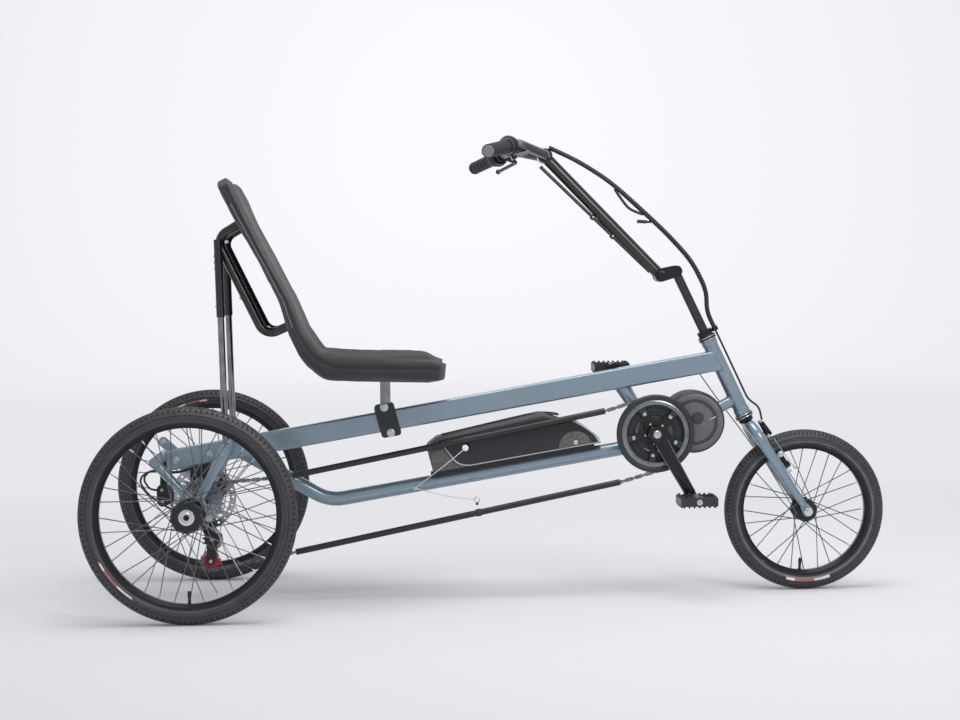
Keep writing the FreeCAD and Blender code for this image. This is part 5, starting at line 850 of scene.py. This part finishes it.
for hand, side in SIDES:
    for what, thickness, material, corners in SIDE_PLATES:
        flat = plate([(on_lower(station, raised), radius) for station, raised, radius in corners],
                     side * CASE_SIDE, side * (CASE_SIDE + thickness), 0.25)
        dress(piece_from(flat, "battery_%s_%s" % (what, hand)), "frame", "gloss_plastic", material)
    lock_plate = plate(lock, side * (CASE_SIDE + 0.8), side * (CASE_SIDE + 2.4), 0.6)
    dress(piece_from(lock_plate, "battery_lock_plate_" + hand), "frame", "gloss_plastic", grained_grey)
    for n in range(3):
        rib = [on_lower(station, raised + n * 5.2, side * (CASE_SIDE + 0.2)) for station, raised in
               ((584 + n * 3, 89.5), (740, 96.5), (874 - n * 12, 102.5 - n * 0.8))]
        dress(wire("battery_rib_%s_%d" % (hand, n), rib, 1.3), "frame", "gloss_plastic", satin_black)
lathed("battery_lock", "frame", "chrome", chrome,
       [(0.0, 0.0), (6.0, 0.0), (6.0, 2.6), (5.2, 3.4), (2.2, 3.4), (2.0, 1.6), (0.0, 1.6)],
       on_lower(912, 38.6, -(CASE_SIDE + 2.2)), (0, -1, 0), 32)
for n, side in enumerate((-26, -9, 9, 26)):
    spine = [on_lower(station, raised, side) for station, raised in
             ((600, 108.4), (700, 114.3), (800, 120.0), (850, 121.2), (885, 109.5))]
    dress(wire("battery_top_rib_%d" % n, spine, 2.0, smooth=True), "frame", "gloss_plastic", satin_black)
latch = plate([(on_lower(station, raised), 2) for station, raised in
               ((955, 47), (962, 51), (974, 33), (967, 30))], -12, 12, 1.0)
dress(piece_from(latch, "battery_latch"), "frame", "gloss_plastic", latch_steel)

# ---------------------------------------------------------------- motor
# A die-cast aluminium motor in warm grey paint, bolted to the bracket shell by its gearcase. Its
# covers have a dark ground, a raised ring and disc, a cast boss and a plated key bar.
motor_grey = finish("warm grey painted casting", "#626164", 0.42, grain=(500, 0.2), mottle=(35, 0.1))
motor_dark = finish("dark grey painted casting", "#37383B", 0.5, grain=(500, 0.2), mottle=(35, 0.12))
recolour("motor", motor_dark)
for hand, side, face, outside in (("right", -1, 45.3, 70.0), ("left", 1, 38.0, 76.0)):
    ring = [(55.0, face - 0.5), (56.0, face + 1.2), (61.0, face + 2.0), (outside - 3, face + 1.4),
            (outside - 0.6, face - 0.4), (outside - 0.6, face - 0.5)]
    lathed("motor_ring_" + hand, "frame", "black_plastic", motor_grey, ring, motor_centre, (0, side, 0), 96,
           True)
    disc = [(0.0, face + 1.6), (30.0, face + 1.4), (46.5, face + 1.0), (48.0, face - 0.3), (0.0, face - 0.3)]
    lathed("motor_disc_" + hand, "frame", "black_plastic", motor_grey, disc, motor_centre, (0, side, 0), 96)
key_bar = plate([(at(station, 0, height), 1) for station, height in
                 ((1230, 420.5), (1231.5, 424.5), (1248, 432.5), (1246.5, 428.5))], -46.4, -48.4, 0.4)
dress(piece_from(key_bar, "motor_key_bar"), "frame", "chrome", chrome)
lathed("motor_cover_boss", "frame", "black_plastic", motor_dark,
       [(0.0, 0.0), (15.0, 0.0), (15.0, 1.2), (13.0, 2.6), (0.0, 3.0)], at(1203, -46.5, 428), (0, -1, 0), 40)
for n, radius in enumerate((24.0, 31.0, 38.0)):
    rib = [(radius, 44.0), (radius + 2.5, 44.0), (radius + 2.0, 46.6), (radius + 0.5, 46.6)]
    lathed("gearcase_rib_%d" % n, "frame", "black_plastic", motor_grey, rib, bracket, (0, -1, 0), 72, True)

# ---------------------------------------------------------------- chain, tubes and cassette
# A steel chain with a film of oil, the plastic guide tubes that carry its long runs, and five
# pressed steel sprockets.
oiled = finish("oiled steel", "#7E8085", 0.24, metallic=1.0, grain=(900, 0.12), mottle=(160, 0.35))
pressed = finish("pressed sprocket steel", "#A4A7AB", 0.22, metallic=1.0, grain=(1100, 0.08),
                 mottle=(120, 0.25))
tube_plastic = finish("drawn black tube", "#222325", 0.32, grain=(1200, 0.06), mottle=(25, 0.1))
recolour("chain", oiled)
recolour("cassette", pressed)
recolour("chain_tubes", tube_plastic)
rear_hub = middle_of("rear_axle")


def from_axis(axis, spot):
    """How far a spot is from an axis across the trike, in mm."""
    return math.hypot(spot.x - axis.x, spot.z - axis.z) * 1000


LOCKRING_RADIUS, CARRIER_RADIUS = 21, 24
zone("cassette", satin_black, lambda spot: from_axis(rear_hub, spot) < LOCKRING_RADIUS)

# A clip on each tube, one with a nylon button and one with a plated ring, holds a white tether.
# Both tethers go through an eye on the lower tube.
CLIP_BAND = [(7.6, -6.0), (8.8, -6.0), (9.2, -5.0), (9.2, 5.0), (8.8, 6.0), (7.6, 6.0)]
clip_band = finish("black clip band", "#28292B", 0.5, grain=(900, 0.1))
for which, place, start, end in (
        ("upper", at(636, -55, 384.1), at(221.6, -55, 305.4), at(976.7, -55, 448.8)),
        ("lower", at(666.7, -55, 219.8), at(228, -55, 121.5), at(1011, -55, 276))):
    along = (end - start).normalized()
    lathed(which + "_clip_band", "frame", "black_plastic", clip_band, CLIP_BAND,
           start + along * (place - start).dot(along), along, 32, True)
button_middle, ring_middle = at(638, -66, 366), at(665, -55, 239.5)
nylon = finish("white nylon", "#E9EAEC", 0.4)
lathed("upper_clip_button", "frame", "chrome", nylon,
       [(0.0, -2.2), (6.0, -2.2), (7.6, -1.0), (7.6, 1.0), (6.0, 2.2), (0.0, 2.2)],
       button_middle, (0, 1, 0), 32)
link = [ring_middle + heading(n * math.pi / 12) * 0.0062 for n in range(24)]
dress(wire("lower_clip_ring", link, 1.5, cyclic=True), "frame", "chrome", chrome)
lower_lug = [ring_middle - Vector((0, 0, drop)) for drop in (0.0125, 0.006)]
upper_lug = [at(637, -55, 376.5), at(638, -64, 369)]
for which, lug, radius in (("lower", lower_lug, 3.2), ("upper", upper_lug, 2.6)):
    dress(wire(which + "_clip_lug", lug, radius), "frame", "black_plastic", clip_band)
eye = at(516.5, -18.6, 266.8)
lathed("tether_eye", "frame", "chrome", chrome,
       [(2.6, -1.0), (5.6, -1.0), (5.6, 0.6), (4.6, 1.4), (2.6, 1.4)], eye, (0, -1, 0), 28, True)
tether_cloth = finish("white braided tether", "#DCDDDF", 0.75, grain=(2000, 0.4), mottle=(90, 0.06))
for which, course in (("upper", (eye, at(548, -38, 292), at(598, -62, 332), at(632, -67, 360.5))),
                      ("lower", (eye, at(548, -32, 258.5), at(602, -48, 246), at(659, -55, 240.5)))):
    tether = wire(which + "_tether", course, 1.1, smooth=True)
    dress(tether, "frame", "rubber", tether_cloth)

# ---------------------------------------------------------------- derailleur, disc and caliper
# A black derailleur with a red tension pulley, a drilled and slotted stainless disc, and a black
# caliper with plated screws.
recolour("derailleur", satin_black)
recolour("brake_caliper", satin_black)
red_nylon = finish("red nylon pulley", "#B3262C", 0.4, grain=(900, 0.06), mottle=(60, 0.1))
disc_steel = finish("ground stainless disc", "#B6B9BD", 0.24, metallic=1.0, grain=(1500, 0.1),
                    mottle=(70, 0.15))
recolour("brake_disc", disc_steel)
TENSION, GUIDE = at(24.5, -55, 103.9), at(28, -55, 156)
PULLEY_RADIUS, PULLEY_HALF_WIDTH = 25.5, 2.6
zone("derailleur", red_nylon, lambda spot: (from_axis(TENSION, spot) < PULLEY_RADIUS
                                            and abs(spot.y - TENSION.y) * 1000 < PULLEY_HALF_WIDTH))
zone("brake_disc", satin_black, lambda spot: from_axis(rear_hub, spot) < CARRIER_RADIUS)
bolts("pulley_screws", "frame", "black_steel", socket_bolt(4.5, 2.4, 2.0), both_sides(8.3, TENSION, GUIDE))
bolts("knuckle_screws", "frame", "black_steel", socket_bolt(6.0, 3.0, 2.6), [(at(8, -37.3, 196), (0, -1, 0))])
bolts("caliper_screws", "frame", "black_steel", socket_bolt(4.0, 3.0, 2.0),
      [(at(station, side, height), (0, math.copysign(1, side - 45), 0))
       for station, height in ((-99, 268), (-98, 240)) for side in (29.8, 60.2)])

# ---------------------------------------------------------------- chainring, guard and cranks
# A black set: the moulded guard holds a turned aluminium ring round a ribbed plate, and the arms have plated
# bolts. The forged cranks are gloss black; a thin bright aluminium line along each long edge is a painted
# highlight.
forged = finish("gloss black forging", "#191A1C", 0.2, metallic=0.2, grain=(500, 0.05), mottle=(30, 0.2))
turned = finish("turned aluminium ring", "#82858A", 0.2, metallic=1.0, grain=(1500, 0.06), mottle=(50, 0.15))
guard_black = finish("moulded black guard", "#2A2B2D", 0.38, grain=(700, 0.12), mottle=(30, 0.12))
recolour("chainring", forged)
recolour("chain_guard", guard_black)
SPIDER_RADIUS = 74
zone("chainring", pressed, lambda spot: from_axis(bracket, spot) > SPIDER_RADIUS)
for name, material, ring in (
        ("guard_rim", guard_black, [(82, 62.6), (83, 65), (86, 66), (91, 65.8), (94.2, 63.4), (94.2, 62.6)]),
        ("guard_ring", turned, [(69.4, 62.6), (70.4, 64.6), (74, 65.3), (79, 65), (82, 63.2), (82, 62.6)]),
        ("guard_plate", guard_black, [
            (45.5, 50), (45.5, 51.4), (50, 51.4), (51, 52.6), (53, 52.6), (54, 51.4), (60, 51.4), (61, 52.6),
            (63, 52.6), (64, 51.4), (69, 51.4), (70, 52.6), (75, 52.6), (75, 50)])):
    lathed(name, "crank", "black_plastic", material, ring, bracket, (0, -1, 0), 96, True)
BOLT_ANGLES = [math.radians(46.9 + 72 * n) for n in range(5)]
for name, radius, bolt in (("chainring_bolts", 54, socket_bolt(5.0, 3.0, 2.4)),
                           ("spider_bolts", 25, socket_bolt(2.8, 2.2, 1.3))):
    bolts(name, "crank", "chrome", bolt,
          [(bracket + Vector((math.cos(angle) * radius, -60, math.sin(angle) * radius)) / 1000, (0, -1, 0))
           for angle in BOLT_ANGLES])


def strap(start, end, start_radius, end_radius):
    """The outline of a bar with round ends, as corners for plate()."""
    along = (end - start).normalized()
    upright = Vector((-along.z, 0, along.x))
    corners = []
    for middle, radius, first in ((end, end_radius, -90), (start, start_radius, 90)):
        for step in range(0, 181, 15):
            angle = math.radians(first + step)
            out = along * math.cos(angle) + upright * math.sin(angle)
            corners.append((middle + out * (radius / 1000), 0))
    return corners


CRANK_FACE, CAP_FOOT = 91.0, 96.8
crank_tips = {"right": at(1182.5, 0, 239.4), "left": at(1013.3, 0, 545.8)}
for hand, side in SIDES:
    tip = crank_tips[hand]
    recolour("crank_" + hand, forged)
    raised = plate(strap(bracket, tip, 11.5, 7.5), side * (CRANK_FACE - 0.3), side * (CRANK_FACE + 1.4), 1.2)
    dress(piece_from(raised, "crank_face_" + hand), "crank", "black_alloy", forged)
    along = (tip - bracket).normalized()
    upright = Vector((-along.z, 0, along.x))
    out = across(side * (CRANK_FACE - 0.6))
    # Painted highlight: a bright turned-aluminium wire along each long edge of the crank's face.
    for n, sign in enumerate((-1, 1)):
        edge = [bracket + along * 0.022 + upright * (sign * 0.0158) + out,
                tip - along * 0.014 + upright * (sign * 0.0122) + out]
        dress(wire("crank_painted_highlight_%s_%d" % (hand, n), edge, 1.1), "crank", "chrome", turned)
    lathed("crank_cap_" + hand, "crank", "chrome", zinc,
           [(0.0, 0.0), (9.5, 0.0), (9.5, 1.0), (8.0, 2.2), (4.0, 2.2), (3.8, 0.8), (0.0, 0.8)],
           bracket + across(side * CAP_FOOT), (0, side, 0), 32)

# ---------------------------------------------------------------- pedals
# Open cages of moulded black nylon, with rows of grip studs along both treads. Plated caps close
# their axles, which screw into the cranks.
PEDAL_HALF_HEIGHT, PEDAL_SIDE, PEDAL_CAP_SIDE = 10.0, 158.0, 45.8
stud_rows = [(reach, row) for row in (-42, 42) for reach in range(-36, 37, 12)]
stud_rows += [(row, reach) for row in (-40, 40) for reach in range(-30, 31, 15)]
for hand, side in SIDES:
    recolour("pedal_" + hand, guard_black)
    middle = crank_tips[hand] + across(side * PEDAL_SIDE)
    stud = lathe([(0.0, 0.0), (2.9, 0.0), (2.4, 3.2), (1.4, 4.4), (0.0, 4.4)], (0, 0, 0), (0, 0, 1), 10,
                 closed=False)
    bolts("pedal_studs_" + hand, hand + "_pedal", "black_plastic", stud,
          [(middle + Vector((forward, sideways, level * (PEDAL_HALF_HEIGHT - 0.4))) / 1000, (0, 0, level))
           for forward, sideways in stud_rows for level in (-1, 1)], guard_black)
    lathed("pedal_cap_" + hand, hand + "_pedal", "chrome", zinc,
           [(0.0, 0.0), (7.5, 0.0), (7.0, 1.4), (0.0, 2.0)],
           middle + across(side * PEDAL_CAP_SIDE), (0, side, 0), 28)

# ---------------------------------------------------------------- axle cap sockets
# The bolt in each end of the rear axle is tightened with a hexagonal key. Its socket is broached in the
# plated cap; here a thin flat black hexagon on the cap stands for it, painted shade where the hollow would
# be.
SOCKET_RADIUS, SOCKET_SIDE = 7.5, 388.0
painted_socket_shade = finish("painted socket shade", "#131315", 0.5, metallic=0.4, grain=(900, 0.1))
for hand, side in SIDES:
    # Painted shade: a flat black hexagon, half a millimetre thick, on each cap.
    lathed("axle_socket_shade_" + hand, "drive_axle", "black_alloy", painted_socket_shade,
           [(0.0, 0.0), (SOCKET_RADIUS, 0.0), (SOCKET_RADIUS, 0.5), (0.0, 0.5)],
           Vector((rear_hub.x, side * SOCKET_SIDE / 1000, rear_hub.z)), (0, side, 0), 6)

# ---------------------------------------------------------------- rim brake
# Forged black linear-pull arms turn on plated pivots, which are brazed to the fork's blades. They
# hold rubber blocks in steel holders, with nuts, a pinch bolt and a return spring each.
recolour("rim_brake", forged)
front_hub = middle_of("front_axle")
blade_along, blade_front = Vector((-0.5395, 0, 0.8420)), Vector((0.8420, 0, 0.5395))
brake_root = front_hub + blade_along * 0.107
zone("rim_brake", valve_rubber, lambda spot: (0.138 < (spot - front_hub).xz.length < 0.164
                                              and abs(spot.y) < 0.026))
bolts("brake_pivot_bolts", "steering", "chrome", socket_bolt(5.5, 4.5, 2.6),
      [(brake_root + blade_front * 0.0335 + across(side * 41.0), blade_front) for side in (-1, 1)])
PAD_UP, PINCH_UP, ARM_OUT = 0.045, 0.098, 36.0
brake_foot = brake_root + blade_front * 0.022
bolts("brake_pad_nuts", "steering", "chrome", socket_bolt(5.5, 4.5, 2.4, washer=7.5),
      both_sides(ARM_OUT + 5.5, brake_foot + blade_along * PAD_UP))
bolts("brake_cable_pinch_bolts", "steering", "chrome", socket_bolt(4.2, 4.0, 2.0),
      both_sides(ARM_OUT + 2.0, brake_foot + blade_along * PINCH_UP))
for hand, side in SIDES:
    spring = [brake_foot + blade_along * up + blade_front * forward + Vector((0, side * out, 0))
              for up, forward, out in ((-0.006, 0.010, 0.044), (0.02, 0.0085, 0.0435), (0.05, 0.008, 0.040),
                                       (0.085, 0.0075, 0.0375))]
    dress(wire("brake_spring_" + hand, spring, 1.0, smooth=True), "steering", "chrome", chrome)

# The crown race, the top locknut and the brake bosses are part of the fork, but aren't enamelled.
zone("fork", forged, lambda spot: -0.0215 < (spot - head_foot).dot(steer_up) < -0.0121)
zone("fork", forged, lambda spot: (spot - head_foot).dot(steer_up) > (HEAD_LENGTH + 12.1) / 1000)
zone("fork", zinc, lambda spot: ((spot - brake_root).dot(blade_front) > 0.0115
                                 and abs((spot - brake_root).dot(blade_along)) < 0.0075))

# ---------------------------------------------------------------- mast and handlebar
# A gloss black steel mast turns on a forged hinge above the quill post. A thin tube is clipped
# along its underside with black bands and plated screws.
recolour("mast_bracket", forged)
for node in ("quill_post", "mast_tube", "handlebar"):
    recolour(node, powder)
pivot, mast_top = at(1120.7, 0, 774.1), at(842, 0, 1066)
mast_along = (pivot - mast_top).normalized()
mast_under = Vector((mast_along.z, 0, -mast_along.x))
bolts("hinge_bolts", "steering", "black_alloy", socket_bolt(8.0, 5.5, 3.6, washer=10.5),
      both_sides(24.5, pivot), forged)
bar_clamp = mast_top - mast_along * 0.0152
bolts("bar_clamp_screws", "mast", "chrome", socket_bolt(3.4, 4.0, 1.7),
      [(bar_clamp + mast_under * (lift * 0.009) + across(side * 15.0), -mast_along)
       for lift in (-1, 1) for side in (-1, 1)])
tube_start, tube_end = at(831.5, 0, 1041.1), at(1095.5, 0, 782.5)
dress(wire("mast_side_tube", [tube_start, tube_end], 4.3), "mast", "black_steel", powder)
tube_along = (tube_end - tube_start).normalized()
MAST_BAND = [(4.4, -5.0), (6.6, -5.0), (7.0, -4.2), (7.0, 4.2), (6.6, 5.0), (4.4, 5.0)]
for n, spot in enumerate((at(964.9, 0, 924.1), at(1010.7, 0, 875.7))):
    on_tube = tube_start + tube_along * (spot - tube_start).dot(tube_along)
    lathed("mast_clip_%d" % n, "mast", "black_plastic", clip_band, MAST_BAND, on_tube, tube_along, 28, True)
    bolts("mast_clip_screw_%d" % n, "mast", "chrome", socket_bolt(3.0, 3.0, 1.5),
          [(on_tube + Vector((0, -0.0066, 0)), (0, -1, 0))])

# ---------------------------------------------------------------- controls
# Ringed rubber grips with grey end caps, twist shifters between bright rings, and black brake
# levers with plated cable adjusters.
SHIFTER_END, GRIP_REACH = 0.166, 0.027
ADJUSTER = [(0.0, 0.0), (5.0, 0.0), (5.0, 6.0), (4.2, 7.0), (3.4, 7.0), (3.4, 15.0), (2.8, 16.0), (0.0, 16.0)]
grip_rubber = finish("black grip rubber", "#222224", 0.6, grain=(900, 0.3), mottle=(60, 0.15))
cap_grey = finish("light grey end cap", "#85878B", 0.45, grain=(800, 0.1))
for hand, side in SIDES:
    node = hand + "_controls"
    bar_end, bar_bend = at(688, side * 370, 1058), at(770, side * 150, 1088)
    inward = (bar_bend - bar_end).normalized()
    recolour(node, grip_rubber)

    def off_grip(spot, end=bar_end, along=inward):
        reach = (spot - end).dot(along)
        return reach > SHIFTER_END or (spot - end - along * reach).length > GRIP_REACH

    zone(node, forged, off_grip)
    lathed("grip_cap_" + hand, "mast", "rubber", cap_grey,
           [(0.0, 0.0), (13.7, 0.0), (13.7, 1.0), (12.4, 2.0), (0.0, 2.3)], bar_end, -inward, 40)
    for n, (reach, radius) in enumerate(((0.1315, 19.5), (0.1555, 24.2), (0.1645, 22.2))):
        ring = [(radius - 4, -1.0), (radius, -1.0), (radius + 0.4, 0.0), (radius, 1.0), (radius - 4, 1.0)]
        lathed("shifter_ring_%s_%d" % (hand, n), "mast", "chrome", black_chrome, ring,
               bar_end + inward * reach, inward, 48, True)
    knuckle = bar_end + inward * 0.176 + Vector((0.024, 0, -0.009))
    lathed("cable_adjuster_" + hand, "mast", "chrome", chrome, ADJUSTER, knuckle + inward * 0.004, inward, 24)

# ---------------------------------------------------------------- cables
# Steel cables in black plastic sleeves. The main bundle runs from the bar down to the head, held
# together by a spiral wrap, with a side branch and a spare plug.
sleeve = finish("black cable sleeve", "#1F2022", 0.35, grain=(1500, 0.1), mottle=(60, 0.1))
for node in ("cable_loom", "front_brake_cable", "rear_cables", "sensor_cable"):
    recolour(node, sleeve)
loom_top, loom_foot = mast_top + Vector((0.011, 0, 0.021)), at(1253.7, 0, 642.8) + steer_up * 0.045
chord = loom_foot - loom_top
bow_way = Vector((-chord.z, 0, chord.x)).normalized()
LOOM_BOW = ((0.0, 0), (0.125, 27), (0.29, 50), (0.473, 57), (0.634, 62), (0.797, 59), (0.93, 35.5), (1.0, 0))


def along_loom(share):
    """A point near the middle of the bundle at a share of the way down it."""
    for (first, low), (last, high) in zip(LOOM_BOW, LOOM_BOW[1:]):
        if share <= last:
            bow = low + (high - low) * (share - first) / (last - first)
            return loom_top + chord * share + bow_way * (bow / 1000)


def on_loom(spot):
    """The nearest point on the bundle's surface, and the way out from it."""
    return nodes["cable_loom"].closest_point_on_mesh(spot)[1:3]


WRAP_FROM, WRAP_TO, WRAP_TURNS = 0.36, 0.92, 46
spiral = []
for n in range(WRAP_TURNS * 8):
    share = WRAP_FROM + (WRAP_TO - WRAP_FROM) * n / (WRAP_TURNS * 8)
    angle = n * math.pi / 4
    around = bow_way * math.cos(angle) + Vector((0, math.sin(angle), 0))
    spot, outward = on_loom(along_loom(share) + around * 0.012)
    spiral.append(spot + outward * 0.0004)
dress(wire("loom_wrap", spiral, 1.1), "steering", "rubber", sleeve)
branch = [on_loom(at(1008.5, 0, 981.2))[0], at(1037.4, 0, 944), at(1060, 0, 929),
          on_loom(at(1080, 0, 922))[0]]
dress(wire("loom_branch", branch, 3.4, smooth=True), "steering", "rubber", sleeve)
lathed("loom_plug", "steering", "rubber", clip_band,
       [(0.0, 0.0), (4.2, 0.0), (4.2, 22.0), (3.0, 24.0), (2.4, 34.0), (0.0, 34.0)],
       at(1066, 0, 905.8), Vector((1, 0, -0.066)), 24)
